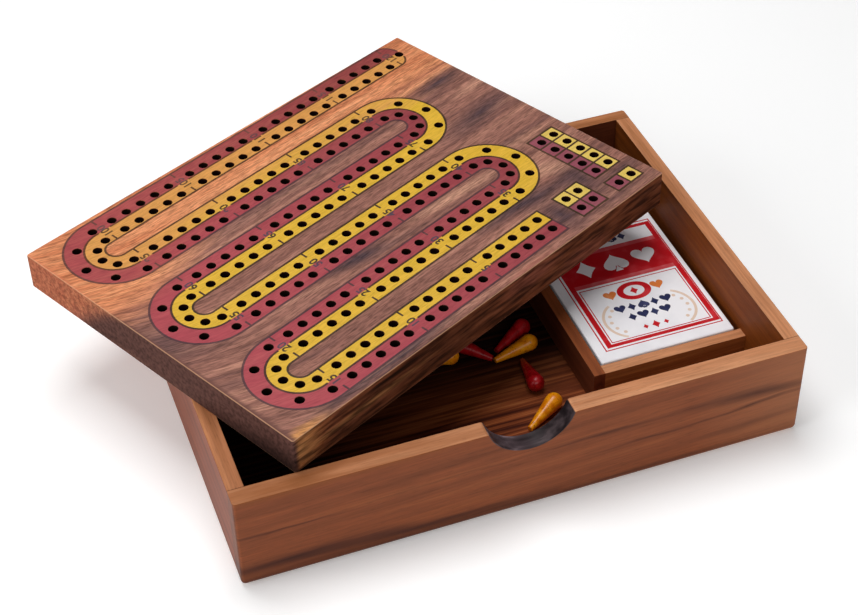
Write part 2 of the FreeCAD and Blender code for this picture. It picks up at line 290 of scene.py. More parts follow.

# %% [markdown]
# Each board gets its own place in the noise, so that no two look alike, the turn of its grain, and
# the tones of its sides and of its top. The back wall and the right wall are painted darker on the
# inside, as shade under the lid, and so are the side strip's sides. The side strip's end is painted
# paler, as light falling on it, and tops near or under the lid take SHADY_TONES, painted shade.

# %% Dressing the boards
QUARTER = math.pi / 2
BOARDS = {
    "back_wall": (0.0, (0.3, 0.7, 0.0), SIDE_TONES, PALE_TONES),
    "left_wall": (QUARTER, (0.9, 0.2, 0.0), DUSTY_TONES, SHADY_TONES),
    "right_wall": (QUARTER, (0.5, 0.4, 0.0), SIDE_TONES, RIM_TONES),
    # The side strip's sides take DEEP_TONES as painted shade under the lid.
    "divider_side": (QUARTER, (1.3, 0.1, 0.0), DEEP_TONES, SIDE_TONES),
    "divider_front": (0.0, (1.1, 0.6, 0.0), AMBER_TONES, RIM_TONES),
    "divider_back": (0.0, (1.6, 0.3, 0.0), AMBER_TONES, SHADY_TONES),
    "corner_rest_front_left": (0.0, (2.0, 0.3, 0.0), DEEP_TONES, SHADY_TONES),
    "corner_rest_front_right": (0.0, (2.2, 0.3, 0.0), DEEP_TONES, SHADY_TONES),
    "corner_rest_back_left": (0.0, (2.4, 0.3, 0.0), DEEP_TONES, SHADY_TONES),
    "corner_rest_back_right": (0.0, (2.6, 0.3, 0.0), DEEP_TONES, SHADY_TONES),
}
for node, (turn, shift, side_tones, pale_tones) in BOARDS.items():
    NODES[node].data.materials[0] = board_material(node, turn, shift, side_tones, pale_tones)
print("boards dressed:", len(BOARDS))

# %% [markdown]
# ## The front wall and its notch
# The front wall is the board that everyone sees, so its streaks are placed one by one. Each is given as
# its place along the wall from the middle and up from the foot, its half length and half width in
# millimetres, its slope in degrees and its strength. The wall also has a darker line under its rim
# and warms towards the right.

# %% Streaks on the front wall
STREAK_TONE, RIM_MARK_TONE, WARM_TONE = "#3C1A0F", "#864A1E", "#C98A62"
FRONT_MARKS = [
    (-108, 27.2, 44, 1.3, 0, 0.8),
    (-30, 30.0, 50, 1.0, 1, 0.35),
    (30, 30.6, 40, 1.6, -1, 0.75),
    (104, 29.0, 48, 4.0, -2, 0.8),
    (56, 21.2, 36, 1.1, 2, 0.7),
    (100, 23.2, 46, 1.2, 4, 0.75),
    (-104, 8.8, 62, 5.0, 0, 1.0),
    (-52, 6.6, 60, 3.0, -2, 0.85),
    (40, 3.4, 90, 1.6, 0, 0.6),
    (96, 12.0, 44, 2.6, 3, 0.4),
    (-60, 0.0, 220, 7.5, 0, 0.85),
]
RIM_MARKS = [(-135, 49.5, 190, 4.5, 0, 1.0)]
WARM_MARKS = [(132, 30, 60, 110, 0, 0.35)]
print("streaks on the front wall:", len(FRONT_MARKS))

# %% [markdown]
# The finger notch was cut with a hot running cutter, which scorched it grey-black and left it slightly
# shiny, so its roughness is lower. The scorch is everything within a hair of the notch's circle,
# measured from its axis. A painted highlight makes it greyest on the left, and painted shade makes it
# nearly black on the right.

# %% Front wall
NOTCH_HALF_WIDTH, NOTCH_DEPTH = 18.5 * MM, 13.8 * MM
NOTCH_RADIUS = (NOTCH_HALF_WIDTH ** 2 + NOTCH_DEPTH ** 2) / (2 * NOTCH_DEPTH)
NOTCH_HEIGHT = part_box("front_wall")[1].z - NOTCH_DEPTH + NOTCH_RADIUS
SCORCH_EDGE = 0.5 * MM
WAVE_LENGTH, WAVE_WIDTH = 34 * MM, 5 * MM
# The soot is lightest at the first place and darkest at the second: painted highlight and shade.
PAINTED_HIGHLIGHT_AT, PAINTED_SHADE_AT = -6 * MM, 10 * MM
SCORCH_TONES = [(0.34, "#221A1C"), (0.52, "#3C3134"), (0.68, "#6A5A5D")]


def front_material():
    """The front wall's hardwood with its streaks and its scorched notch."""
    material, tree = new_material("hardwood_front_wall")
    colour, height, (x, y, z) = board_colour(tree, 0.0, (0, 0, 0), SIDE_TONES, RIM_TONES)
    waves = stretched_noise(tree, add(tree, "TexCoord", out=3), WAVE_LENGTH, WAVE_WIDTH, 3.0)
    raised = add(tree, "Math", {0: waves, 1: WAVE_DEPTH, 2: z}, operation="MULTIPLY_ADD")
    wavy = add(tree, "Math", {0: raised, 1: WAVE_DEPTH / 2}, operation="SUBTRACT")
    face = add(tree, "CombineXYZ", {"X": x, "Y": wavy})
    for marks, tone in ((WARM_MARKS, WARM_TONE), (RIM_MARKS, RIM_MARK_TONE), (FRONT_MARKS, STREAK_TONE)):
        colour = marked(tree, colour, face, marks, tone)
    rise = add(tree, "Math", {0: z, 1: NOTCH_HEIGHT}, operation="SUBTRACT")
    axis = add(tree, "CombineXYZ", {"X": x, "Y": rise})
    radius = add(tree, "VectorMath", {0: axis}, out=1, operation="LENGTH")
    scorch = add(tree, "MapRange", {"Value": radius, "From Min": NOTCH_RADIUS + SCORCH_EDGE,
                                    "From Max": NOTCH_RADIUS + SCORCH_EDGE / 2})
    # Painted highlight and shade: the soot is made 1.7 times lighter on the left and 0.35 as bright on
    # the right.
    grey = add(tree, "MapRange", {"Value": x, "From Min": PAINTED_HIGHLIGHT_AT, "From Max": PAINTED_SHADE_AT,
                                  "To Min": 1.7, "To Max": 0.35})
    soot = shaded(tree, add(tree, "ValToRGB", {0: waves}, stops=SCORCH_TONES), grey)
    colour = add(tree, "Mix", {0: scorch, 6: colour, 7: soot}, out=2, data_type="RGBA")
    roughness = add(tree, "MapRange", {"Value": scorch, "To Min": 0.5, "To Max": 0.36})
    bump = add(tree, "Bump", {"Height": height, "Strength": 0.2, "Distance": 0.06 * MM})
    surface(tree, {"Base Color": colour, "Roughness": roughness, "Normal": bump,
                   "Specular IOR Level": 0.16})
    return material


NODES["front_wall"].data.materials[0] = front_material()
print(f"notch of radius {NOTCH_RADIUS / MM:.1f} mm, scorched within {SCORCH_EDGE / MM} mm of it")

# %% [markdown]
# The floor is a thinner panel of darker stock, oiled and not coated. It shows brown along the front
# wall; further in and towards the left it is painted nearly black, as the lid's shadow. Its streaks
# are fine and run along it. Oil leaves the eye a dull surface, so it is rougher than the coated walls.

# %% Floor panel
FLOOR_BROWN_TONES = [(0.34, "#45190B"), (0.50, "#7A3A1C"), (0.60, "#A0542C"), (0.70, "#BA6E3E")]
# The second tones are the floor darkened to near black: painted shadow of the lid.
SHADOWED_FLOOR_TONES = [(0.34, "#0C0403"), (0.50, "#180A05"), (0.62, "#33140A"), (0.72, "#4A2010")]
SHADOW_FULL_AT, SHADOW_STARTS_AT = 84 * MM, 50 * MM  # the lid's painted shadow is full at, and begins at, this far from the front
SHADOW_FULL_X, SHADOW_GONE_X = -90 * MM, -20 * MM  # and the painted shadow fades out from left to right between these
SHADOW_WAVE = 20 * MM
STREAK_LENGTH, STREAK_WIDTH = 60 * MM, 1.8 * MM


def floor_material():
    """Dark oiled wood with fine streaks, brown at the front and painted near black as shadow further in.
    """
    material, tree = new_material("oiled_floor_panel")
    place = add(tree, "TexCoord", out=3)
    streaks = stretched_noise(tree, place, STREAK_LENGTH, STREAK_WIDTH, 4.0, 0.3)
    x, y, _ = add(tree, "SeparateXYZ", {0: place}, out=None)
    depth = add(tree, "Math", {0: y, 1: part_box("floor_panel")[0].y}, operation="SUBTRACT")
    wavy = add(tree, "Math", {0: streaks, 1: SHADOW_WAVE, 2: depth}, operation="MULTIPLY_ADD")
    by_depth = add(tree, "MapRange", {"Value": wavy, "From Min": SHADOW_FULL_AT, "From Max": SHADOW_STARTS_AT})
    by_side = add(tree, "MapRange", {"Value": x, "From Min": SHADOW_FULL_X, "From Max": SHADOW_GONE_X})
    # 1 where the floor shows its lit brown, 0 where painted shadow makes it near black.
    rubbed = add(tree, "Math", {0: by_depth, 1: by_side}, operation="MULTIPLY")
    shadowed = add(tree, "ValToRGB", {0: streaks}, stops=SHADOWED_FLOOR_TONES)
    brown = add(tree, "ValToRGB", {0: streaks}, stops=FLOOR_BROWN_TONES)
    colour = add(tree, "Mix", {0: rubbed, 6: shadowed, 7: brown}, out=2, data_type="RGBA")
    bump = add(tree, "Bump", {"Height": streaks, "Strength": 0.2, "Distance": 0.06 * MM})
    surface(tree, {"Base Color": colour, "Roughness": 0.55, "Normal": bump,
                   "Specular IOR Level": 0.12})
    return material


NODES["floor_panel"].data.materials[0] = floor_material()
print("floor's painted shadow is full at", SHADOW_FULL_AT / MM, "mm")

# %% [markdown]
# ## The lid's board
# The lid is one wide board with its bark side towards the back: orange sapwood there, grey-brown
# heartwood in front, and dark smears where minerals stained it. The border between the two is a soft
# step across the board that leans as it goes down, as growth rings do. Near the left end the fibres
# curl round a knot that was sawn away, so the point that feeds the noise is bent there.

# %% Lid wood
SAP_TONES = [(0.28, "#B66A46"), (0.44, "#C87C55"), (0.57, "#D48A60"), (0.74, "#DE996D")]
HEART_TONES = [(0.27, "#6E4D48"), (0.43, "#895D51"), (0.56, "#996A5C"), (0.73, "#B17F6B")]
CURL_REACH, CURL_DEPTH = 50 * MM, 13 * MM
BORDER_LEAN = 2.0
BORDER_ALONG = (20 * MM, 70 * MM)
BORDER_ACROSS = (105 * MM, 128 * MM)
BORDER_WAVE = 30 * MM
BORDER_SOFT = (5 * MM, 26 * MM)


def lid_point(tree):
    """The shaded point along and across the print and the grain, from the near corner."""
    place = add(tree, "TexCoord", out=3)
    moved = add(tree, "VectorMath", {0: place, 1: LID_CORNER}, operation="SUBTRACT")
    return add(tree, "VectorRotate", {"Vector": moved, "Angle": -LID_TURN - TRACK_SKEW},
               rotation_type="Z_AXIS")


def curled(tree, parts):
    """The same point with its fibres bent down to the right near the left end."""
    near = add(tree, "MapRange", {"Value": parts[0], "From Min": CURL_REACH, "From Max": 0.0})
    steeper = add(tree, "Math", {0: near, 1: 2.0}, operation="POWER")
    bend = add(tree, "Math", {0: steeper, 1: -CURL_DEPTH, 2: parts[1]}, operation="MULTIPLY_ADD")
    return add(tree, "CombineXYZ", {"X": parts[0], "Y": bend, "Z": parts[2]})


def sapwood(tree, parts, bands):
    """The share of sapwood, 0 in the heart and 1 under the bark."""
    border = add(tree, "MapRange", {"Value": parts[0],
                                    "From Min": BORDER_ALONG[0], "From Max": BORDER_ALONG[1],
                                    "To Min": BORDER_ACROSS[0], "To Max": BORDER_ACROSS[1]})
    below = add(tree, "Math", {0: LID_TOP, 1: parts[2]}, operation="SUBTRACT")
    leaning = add(tree, "Math", {0: below, 1: BORDER_LEAN, 2: border}, operation="MULTIPLY_ADD")
    inside = add(tree, "Math", {0: parts[1], 1: leaning}, operation="SUBTRACT")
    wavy = add(tree, "Math", {0: bands, 1: BORDER_WAVE, 2: inside}, operation="MULTIPLY_ADD")
    return add(tree, "MapRange", {"Value": wavy, "From Min": BORDER_SOFT[0], "From Max": BORDER_SOFT[1]})


print(f"sapwood begins about {BORDER_ACROSS[1] / MM:.0f} mm across and leans as it goes down")

# %% [markdown]
# Stains and pale flashes on a board are single events, so they are listed, in millimetres along and
# across. Those on the top go deep. Those on the end and on the long side stay near that face: their
# third direction is the distance from it, and it is short.

# %% Stains on the lid
STAIN, FLASH, GOLD, SOOT = "#4C3A3E", "#CE9A80", "#C88C56", "#24130D"
TOP_STAINS = [
    (95, 58.5, 26, 5, -8, 1.2),
    (122, 54, 18, 2.5, -5, 0.5),
    (212, 91, 36, 9, 7, 1.0),
    (110, 115.5, 90, 5, 0, 0.5),
    (218, 123, 32, 7, 3, 1.1),
    (172, 30, 54, 7, -7, 1.05),
    (177, 13, 13, 18, 0, 1.0),
    (203, 22, 12, 22, 0, 0.9),
    (222, 14, 18, 5, 0, 0.8),
    (205, 2, 34, 3.5, 0, 0.5),
    (62, 3.2, 48, 4.0, 0, 1.3),
    (44, 5, 40, 5, 4, 0.9),
    (4, 84, 24, 5, -25, 0.35),
    (2, 78, 34, 16, -30, 0.7),
    (8, 40, 22, 4, -20, 0.35),
]
TOP_FLASHES = [
    (158, 57, 34, 4.2, -4, 0.85),
    (60, 59, 26, 1.6, -6, 0.35),
    (198, 40, 14, 7, -30, 0.7),
    (226, 109, 18, 4, 3, 0.6),
    (204, 62, 26, 5, 0, 0.45),
    (45, 4.5, 40, 1.6, -2, 0.35),
]
# This gold lies on the near corner's top edge: rubbed bare wood and a painted highlight.
TOP_GOLD = [(6, 1.2, 18, 4.2, 0, 1.1)]
END_STAINS = [(112, 7, 46, 10, -27, 2.2), (74, 8, 66, 20, 0, 2.0), (20, 9, 70, 34, 0, 1.6)]
END_SOOT = [(12, 1, 60, 9, 0, 0.8), (4, 4, 26, 12, 0, 0.5), (112, 3, 36, 4, -12, 0.35)]
END_GLOW = [(165, 9, 70, 70, 0, 1.3)]
LONG_SOOT = [
    (48, 14.8, 46, 1.3, 0, 0.85),
    (72, 13.6, 62, 5, 0, 0.65),
    (96, 9, 30, 10, 0, 0.3),
    (216, 9, 28, 11, 0, 0.8),
    (221, 6, 18, 1.8, 4, 0.9),
    (70, 6, 70, 1.2, 1, 0.5),
    (30, 3, 34, 1.6, 0, 0.5),
]
LONG_RED = [(178, 4, 26, 9, 0, 1.0), (142, 13, 26, 7, 0, 0.9)]
# The first gold mark is on the near corner's upright edge: rubbed bare wood and a painted highlight.
LONG_GOLD = [(4, 11, 12, 14, 0, 0.7), (40, 9, 50, 2.4, 1, 0.6)]
print("stains listed:", len(TOP_STAINS) + len(END_STAINS), "patches and",
      len(END_SOOT) + len(LONG_SOOT), "sooty lines")

# %% [markdown]
# The board's colour comes in layers. The bands give the two woods, the border says which one shows,
# the stains on the top are laid over it, and the fibres lighten and darken it all. A point near a side
# face has its own three directions: along the face, up it, and into the wood, drawn out so that a
# stain there is only skin deep.

# %% The lid's wood
SKIN = 3 * MM  # how deep a stain on a side face goes
LID_BAND = (100 * MM, 4.5 * MM)
LID_FIBRE, LID_CONTRAST = (5 * MM, 0.62 * MM), 0.30
LID_WAVE = (30 * MM, 2.2 * MM)


def near_face(tree, at, rise, inward):
    """A point on a side face: along it, up it, and into the wood, scaled to a thin skin."""
    height = add(tree, "Math", {0: rise, 1: LID_BOTTOM}, operation="SUBTRACT")
    deep = add(tree, "Math", {0: inward, 1: FAR / SKIN}, operation="MULTIPLY")
    return add(tree, "CombineXYZ", {"X": at, "Y": height, "Z": deep})


def lid_wood(tree):
    """Colour, bump height and sapwood share of the lid's board, and the parts of its point."""
    parts = add(tree, "SeparateXYZ", {0: lid_point(tree)}, out=None)
    flow = curled(tree, parts)
    bands = stretched_noise(tree, flow, *LID_BAND, 4.0, 0.4)
    brightness, height = grain(tree, flow, *LID_FIBRE, LID_CONTRAST)
    sap = sapwood(tree, parts, bands)
    grey_brown = add(tree, "ValToRGB", {0: bands}, stops=HEART_TONES)
    orange = add(tree, "ValToRGB", {0: bands}, stops=SAP_TONES)
    colour = add(tree, "Mix", {0: sap, 6: grey_brown, 7: orange}, out=2, data_type="RGBA")
    waves = stretched_noise(tree, flow, *LID_WAVE, 2.0)
    lowered = add(tree, "Math", {0: parts[1], 1: WAVE_DEPTH / 2}, operation="SUBTRACT")
    wavy = add(tree, "Math", {0: waves, 1: WAVE_DEPTH, 2: lowered}, operation="MULTIPLY_ADD")
    top = add(tree, "CombineXYZ", {"X": parts[0], "Y": wavy})
    for marks, tone in ((TOP_STAINS, STAIN), (TOP_FLASHES, FLASH), (TOP_GOLD, GOLD)):
        colour = marked(tree, colour, top, marks, tone)
    return shaded(tree, colour, brightness), height, sap, parts


print("marks on the lid's top:", len(TOP_STAINS) + len(TOP_FLASHES) + len(TOP_GOLD))

# %% [markdown]
# The board itself adds what only its own faces show. The bores' walls are painted dark, as the shade
# inside them, and they are all that lies well inside its outline and between its faces. Handling has
# rubbed a hair of bare wood along the top edge, and its paleness also serves as a painted highlight. A
# rounded edge faces neither up nor sideways, so its normal gives it away.

# %% Bores, and edges with wear and a painted highlight
def inside_range(tree, value, low, high):
    """1 where a value lies between two limits."""
    middle = add(tree, "Math", {0: value, 1: (low + high) / 2}, operation="SUBTRACT")
    away = add(tree, "Math", {0: middle}, operation="ABSOLUTE")
    return add(tree, "Math", {0: away, 1: (high - low) / 2}, operation="LESS_THAN")


NEARLY_UP, NEARLY_LEVEL = (0.97, 0.85), (0.15, 0.4)


def worn_edges(tree):
    """The share of paler edge, rubbed wood and painted highlight: faces halfway between up and sideways.
    """
    normal = add(tree, "SeparateXYZ", {0: add(tree, "TexCoord", out=1)}, out=None)
    up = add(tree, "Math", {0: normal[2]}, operation="ABSOLUTE")
    off_top = add(tree, "MapRange", {"Value": up, "From Min": NEARLY_UP[0], "From Max": NEARLY_UP[1]})
    off_side = add(tree, "MapRange", {"Value": up,
                                      "From Min": NEARLY_LEVEL[0], "From Max": NEARLY_LEVEL[1]})
    return add(tree, "Math", {0: off_top, 1: off_side}, operation="MULTIPLY")


paler_edge_from, paler_edge_to = (math.degrees(math.acos(limit[1])) for limit in (NEARLY_UP, NEARLY_LEVEL))
print(f"an edge shows wear and a painted highlight where it leans {paler_edge_from:.0f} to {paler_edge_to:.0f} degrees")

# %% [markdown]
# The saw left the board's long side and its end rough and raw. Rough wood drinks in light and dirt, so
# both are stained, sooty, darker and streaked, and the end, where the fibres are cut across, is
# streaked less clearly.

# %% Sawn sides
LONG_TONE, LONG_SHARE = "#8C4A26", 0.8
RED_STAIN, GLOW_TONE, END_STAIN = "#BE6E5C", "#D07157", "#6C4840"
END_DIMMED, LONG_DIMMED = 0.56, 0.55
SAW_LENGTH, SAW_WIDTH = 16 * MM, 1.9 * MM
SAW_DARK, SAW_LIGHT = 0.4, 1.75
END_STREAKED = 0.45


def sawn_sides(tree, colour, long_side, end, point):
    """The wood on the board's long side and end: stained, darker, and streaked by the saw."""
    u, v, z = point
    share = add(tree, "Math", {0: long_side, 1: LONG_SHARE}, operation="MULTIPLY")
    colour = add(tree, "Mix", {0: share, 6: colour, 7: linear(LONG_TONE)}, out=2, data_type="RGBA")
    long_face, end_face = near_face(tree, u, z, v), near_face(tree, v, z, u)
    for marks, tone in ((LONG_SOOT, SOOT), (LONG_RED, RED_STAIN), (LONG_GOLD, GOLD)):
        colour = marked(tree, colour, long_face, marks, tone)
    for marks, tone in ((END_GLOW, GLOW_TONE), (END_STAINS, END_STAIN), (END_SOOT, SOOT)):
        colour = marked(tree, colour, end_face, marks, tone)
    for side, dimmed in ((end, END_DIMMED), (long_side, LONG_DIMMED)):
        shade = add(tree, "Math", {0: side, 1: dimmed - 1, 2: 1.0}, operation="MULTIPLY_ADD")
        colour = shaded(tree, colour, shade)
    place = add(tree, "CombineXYZ", {"X": u, "Y": v, "Z": z})
    streaks = stretched_noise(tree, place, SAW_LENGTH, SAW_WIDTH, 3.0)
    light = add(tree, "MapRange", {"Value": streaks, "From Min": NOISE_LOW, "From Max": NOISE_HIGH,
                                   "To Min": SAW_DARK, "To Max": SAW_LIGHT})
    share = add(tree, "Math", {0: end, 1: END_STREAKED, 2: long_side}, operation="MULTIPLY_ADD")
    streaky = shaded(tree, colour, light)
    return add(tree, "Mix", {0: share, 6: colour, 7: streaky}, out=2, data_type="RGBA")


side_marks = (LONG_SOOT, LONG_RED, LONG_GOLD, END_GLOW, END_STAINS, END_SOOT)
print("marks on the lid's sides:", sum(len(marks) for marks in side_marks))

# %% [markdown]
# All of that comes together in the board's own material. The top was sealed, which gives the eye a
# soft shine that the fibres break up. The sawn sides were not, and shine hardly at all, so they are
# rougher.

# %% Lid board
BORE_INSET, BORE_SKIN = 4 * MM, 0.3 * MM
# The bores' walls are painted near black, as the shade inside them.
BORE_SHADE_TONE = "#1C0A07"
# Rounded edges are paler: rubbed bare wood and a painted highlight.
WORN_HIGHLIGHT_TONE, WORN_HIGHLIGHT_SHARE = "#D8A57E", 0.5
RAW_ROUGHER = 0.45


def lid_material():
    """The sealed board, with bores painted dark as shade, darker end grain, and edges paler from wear
    and a painted highlight.
    """
    material, tree = new_material("sealed_lid_board")
    colour, height, _, (u, v, z) = lid_wood(tree)
    long_side, end = facing(tree, tuple(across)), facing(tree, tuple(along))
    colour = sawn_sides(tree, colour, long_side, end, (u, v, z))
    # Rounded edges turn paler: rubbed bare wood and a painted highlight.
    worn = add(tree, "Math", {0: worn_edges(tree), 1: WORN_HIGHLIGHT_SHARE}, operation="MULTIPLY")
    colour = add(tree, "Mix", {0: worn, 6: colour, 7: linear(WORN_HIGHLIGHT_TONE)}, out=2, data_type="RGBA")
    bore = inside_range(tree, z, LID_BOTTOM + BORE_SKIN, LID_TOP - BORE_SKIN)
    for part, reach in ((u, LID_LENGTH), (v, LID_WIDTH)):
        within = inside_range(tree, part, BORE_INSET, reach - BORE_INSET)
        bore = add(tree, "Math", {0: bore, 1: within}, operation="MULTIPLY")
    # The bores are painted near black: painted shade inside the holes.
    colour = add(tree, "Mix", {0: bore, 6: colour, 7: linear(BORE_SHADE_TONE)}, out=2, data_type="RGBA")
    sealed = add(tree, "MapRange", {"Value": height, "From Min": FIBRE_LOW, "From Max": FIBRE_HIGH,
                                    "To Min": 0.56, "To Max": 0.44})
    raw = add(tree, "Math", {0: long_side, 1: end}, operation="ADD")
    roughness = add(tree, "Math", {0: raw, 1: RAW_ROUGHER, 2: sealed}, operation="MULTIPLY_ADD")
    bump = add(tree, "Bump", {"Height": height, "Strength": 0.25, "Distance": 0.08 * MM})
    surface(tree, {"Base Color": colour, "Roughness": roughness, "Normal": bump,
                   "Specular IOR Level": 0.1})
    return material


NODES["lid_board"].data.materials[0] = lid_material()
print(f"bores lie more than {BORE_INSET / MM:.0f} mm from the board's edges")

# %% [markdown]
# ## The printed track
# Two lanes of coloured ink wind over the board six times, with a hole for every point. They were
# screened on before the drilling, so print and holes have sizes of their own. The ink is thin and a
# little see-through, so the grain still shows. Each lane is one flat curve: its outline and a circle
# for every hole that it must leave open. A curve fills what lies between its loops, which no chain
# of extrusions does as simply.

# %% Hole places, in millimetres from the near corner
HOLE_LANE = 8.87
HOLE = 2.2
MARGIN_LEFT, MARGIN_RIGHT, MARGIN_FRONT, MARGIN_BACK = 8.1, 5.8, 4.8, 5.0
STRAIGHTS, GROUPS, PER_GROUP = 6, 3, 5
GROUP_GAP, TURN_GAP, START_GAP = 12.7, 11.0, 9.0
COUNTER_WIDTH, COUNTER_GAP = 17.2, 7.3
COUNTER_PITCH, COUNTER_ROWS = 8.05, 5
COUNTER_ROW_START, COUNTER_PAIR_START = 16.65, 3.3

board_length, board_width = LID_LENGTH / MM, LID_WIDTH / MM
first_row = MARGIN_FRONT + HOLE_LANE
row_pitch = (board_width - MARGIN_FRONT - MARGIN_BACK - 2 * HOLE_LANE) / (STRAIGHTS - 1)
rows = [first_row + number * row_pitch for number in range(STRAIGHTS)]
hole_radius = row_pitch / 2
holes_left = MARGIN_LEFT + hole_radius + HOLE_LANE
counter_left = board_length - MARGIN_RIGHT - COUNTER_WIDTH
holes_right = counter_left - COUNTER_GAP - hole_radius - HOLE_LANE
pitch = (holes_right - holes_left - (GROUPS - 1) * GROUP_GAP - 2 * TURN_GAP) / (GROUPS * (PER_GROUP - 1))
group_pitch = (PER_GROUP - 1) * pitch + GROUP_GAP
print(f"rows every {row_pitch:.2f} mm, holes every {pitch:.2f} mm")

# %% [markdown]
# A cribbage player pegs points along the lane, so its holes are one long list. Along a straight they
# stand in groups of five, one hole in each lane. Round a turn five more lie on each of two arcs. The
# colours change sides from row to row, because the lanes run there and back. Working the list out from
# a few sizes keeps the print in step with the drilled holes.

# %% Where the holes are
def track_holes():
    """Every hole of the lanes as (colour, along, across)."""
    columns = []
    for group in range(GROUPS):
        first = holes_left + TURN_GAP + group * group_pitch
        columns += [first + number * pitch for number in range(PER_GROUP)]
    last_group = [holes_right + number * pitch for number in range(PER_GROUP)]
    holes = []
    for number, row in enumerate(rows):
        below, above = ("red", "yellow") if number % 2 == 0 else ("yellow", "red")
        for column in columns + (last_group if number == STRAIGHTS - 1 else []):
            holes += [(below, column, row - HOLE_LANE / 2), (above, column, row + HOLE_LANE / 2)]
    for number in range(STRAIGHTS - 1):
        at, side = (holes_left, -1) if number % 2 == 0 else (holes_right, 1)
        outer, inner = ("red", "yellow") if side < 0 else ("yellow", "red")
        middle = rows[number] + hole_radius
        for colour, offset in ((inner, -HOLE_LANE / 2), (outer, HOLE_LANE / 2)):
            radius = hole_radius + offset
            for step in range(PER_GROUP):
                angle = math.pi * (step / (PER_GROUP - 1) - 0.5)
                out = side * radius * math.cos(angle)
                holes.append((colour, at + out, middle + radius * math.sin(angle)))
    return holes


def square_holes():
    """The start block's and the games counter's holes as (along, across)."""
    starts = [holes_right + START_GAP + column * pitch for column in range(2)]
    holes = [(at, rows[0] + side * HOLE_LANE / 2) for at in starts for side in (-1, 1)]
    heights = [MARGIN_FRONT + COUNTER_ROW_START + row * COUNTER_PITCH for row in range(COUNTER_ROWS)]
    for height in [MARGIN_FRONT + COUNTER_PAIR_START] + heights:
        holes += [(counter_left + share * COUNTER_WIDTH / 4, height) for share in (1, 3)]
    return holes


print("holes:", len(track_holes()), "on the lanes,", len(square_holes()), "in the squares")

# %% [markdown]
# The screen for the print was laid on by hand, a little off the drill, and its turns are a little
# tighter. So the print has its own straights, turns and blocks. Everything in it hangs on one middle
# line: a list of points, each with the direction to its left. A lane, an edge or a line is that list
# moved sideways.

# %% The print's own sizes
LANE = 9.1
LINE_PITCH = 28.5
FIRST_LINE = 13.2
TURN_LEFT, TURN_RIGHT = 30.8, 177.1
TURN_RADIUS = LINE_PITCH / 2
START_EDGE = 171.7
CAP, CAP_REACH = 216.7, 6.9
NUMBER_COLUMNS = [35.4, 81.5, 127.4, 172.2]
NUMBER_CLEAR = 3.2
ARC_STEPS = 24
START_BLOCK = ([182.8, 191.1, 199.7], [4.4, 13.4, 22.7])
COUNTER_BLOCK = ([207.5, 216.3, 224.9], [17.8, 26.0, 34.0, 42.1, 50.4, 58.3])
PAIR_BLOCK = ([207.5, 216.3, 224.9], [4.2, 12.8])

lines = [FIRST_LINE + number * LINE_PITCH for number in range(STRAIGHTS)]
finish_hole = Vector((holes_right + (PER_GROUP - 1) * pitch + TURN_GAP, rows[-1]))


def turn_points(number):
    """The middle line's points round one turn, with their left-hand normals."""
    side = -1 if number % 2 == 0 else 1
    centre = Vector((TURN_LEFT if side < 0 else TURN_RIGHT, lines[number] + TURN_RADIUS))
    points = []
    for step in range(ARC_STEPS + 1):
        angle = math.pi * (step / ARC_STEPS - 0.5)
        out = Vector((side * math.cos(angle), math.sin(angle)))
        points.append((centre + out * TURN_RADIUS, out * -side))
    return points


def middle_line():
    """The whole middle line from the start to where the cap begins."""
    points = [(Vector((START_EDGE, lines[0])), Vector((0, -1)))]
    for number in range(STRAIGHTS - 1):
        points += turn_points(number)
    points.append((Vector((CAP, lines[-1])), Vector((0, 1))))
    return points


middle = middle_line()
length = sum((b[0] - a[0]).length for a, b in zip(middle, middle[1:]))
print(f"the middle line is {length / 1000:.2f} m long, in {len(middle)} points")

# %% [markdown]
# The last hole sits in the rounded tip of the lanes and breaks through it. Each lane's outline goes
# round its share of that hole instead of laying a circle over it, because two crossing loops would
# fill the wrong side.

# %% The rounded tip
def cap_arc(side, clear):
    """The tip's outer points on one side, from its start to a distance from the finish hole."""
    points = []
    for step in range(2 * ARC_STEPS + 1):
        angle = side * math.pi / 2 * (1 - step / (2 * ARC_STEPS))
        out = Vector((math.cos(angle), math.sin(angle)))
        point = Vector((CAP + CAP_REACH * out.x, lines[-1] + LANE * out.y))
        if (point - finish_hole).length < clear:
            break
        points.append((point, out))
    return points


TIP_STEP, TIP_STEPS = math.radians(5), 60


def hole_arc(side):
    """Points round the finish hole inside the tip, from the middle line outwards."""
    rise = lines[-1] - finish_hole.y
    start = math.pi - math.asin(rise / HOLE)
    points = []
    for step in range(TIP_STEPS):
        turn = start - side * TIP_STEP * step
        point = finish_hole + HOLE * Vector((math.cos(turn), math.sin(turn)))
        if ((point.x - CAP) / CAP_REACH) ** 2 + ((point.y - lines[-1]) / LANE) ** 2 > 1:
            break
        points.append(point)
    return points


print(f"the last hole is {finish_hole.x - CAP:.1f} mm into a tip {CAP_REACH} mm deep")

# %% [markdown]
# ## Flat prints
# Ink, a paper label or a decal is flat: some loops, filled between. A loop is a list of points that
# closes on itself, and three kinds of it draw almost everything here: circles, rectangles and
# ribbons.

# %% Loops
def circle(centre, radius, steps=20):
    """A round loop."""
    turns = [2 * math.pi * step / steps for step in range(steps)]
    return [centre + Vector((radius * math.cos(turn), radius * math.sin(turn))) for turn in turns]


def rectangle(x0, x1, y0, y1):
    """A rectangular loop."""
    return [Vector((x0, y0)), Vector((x1, y0)), Vector((x1, y1)), Vector((x0, y1))]


def ribbon(points, width):
    """A strip of even width along (point, normal) pairs, as a loop."""
    left = [point + normal * width / 2 for point, normal in points]
    right = [point - normal * width / 2 for point, normal in reversed(points)]
    return left + right


print("a circle has", len(circle(Vector((0, 0)), 1)), "points")

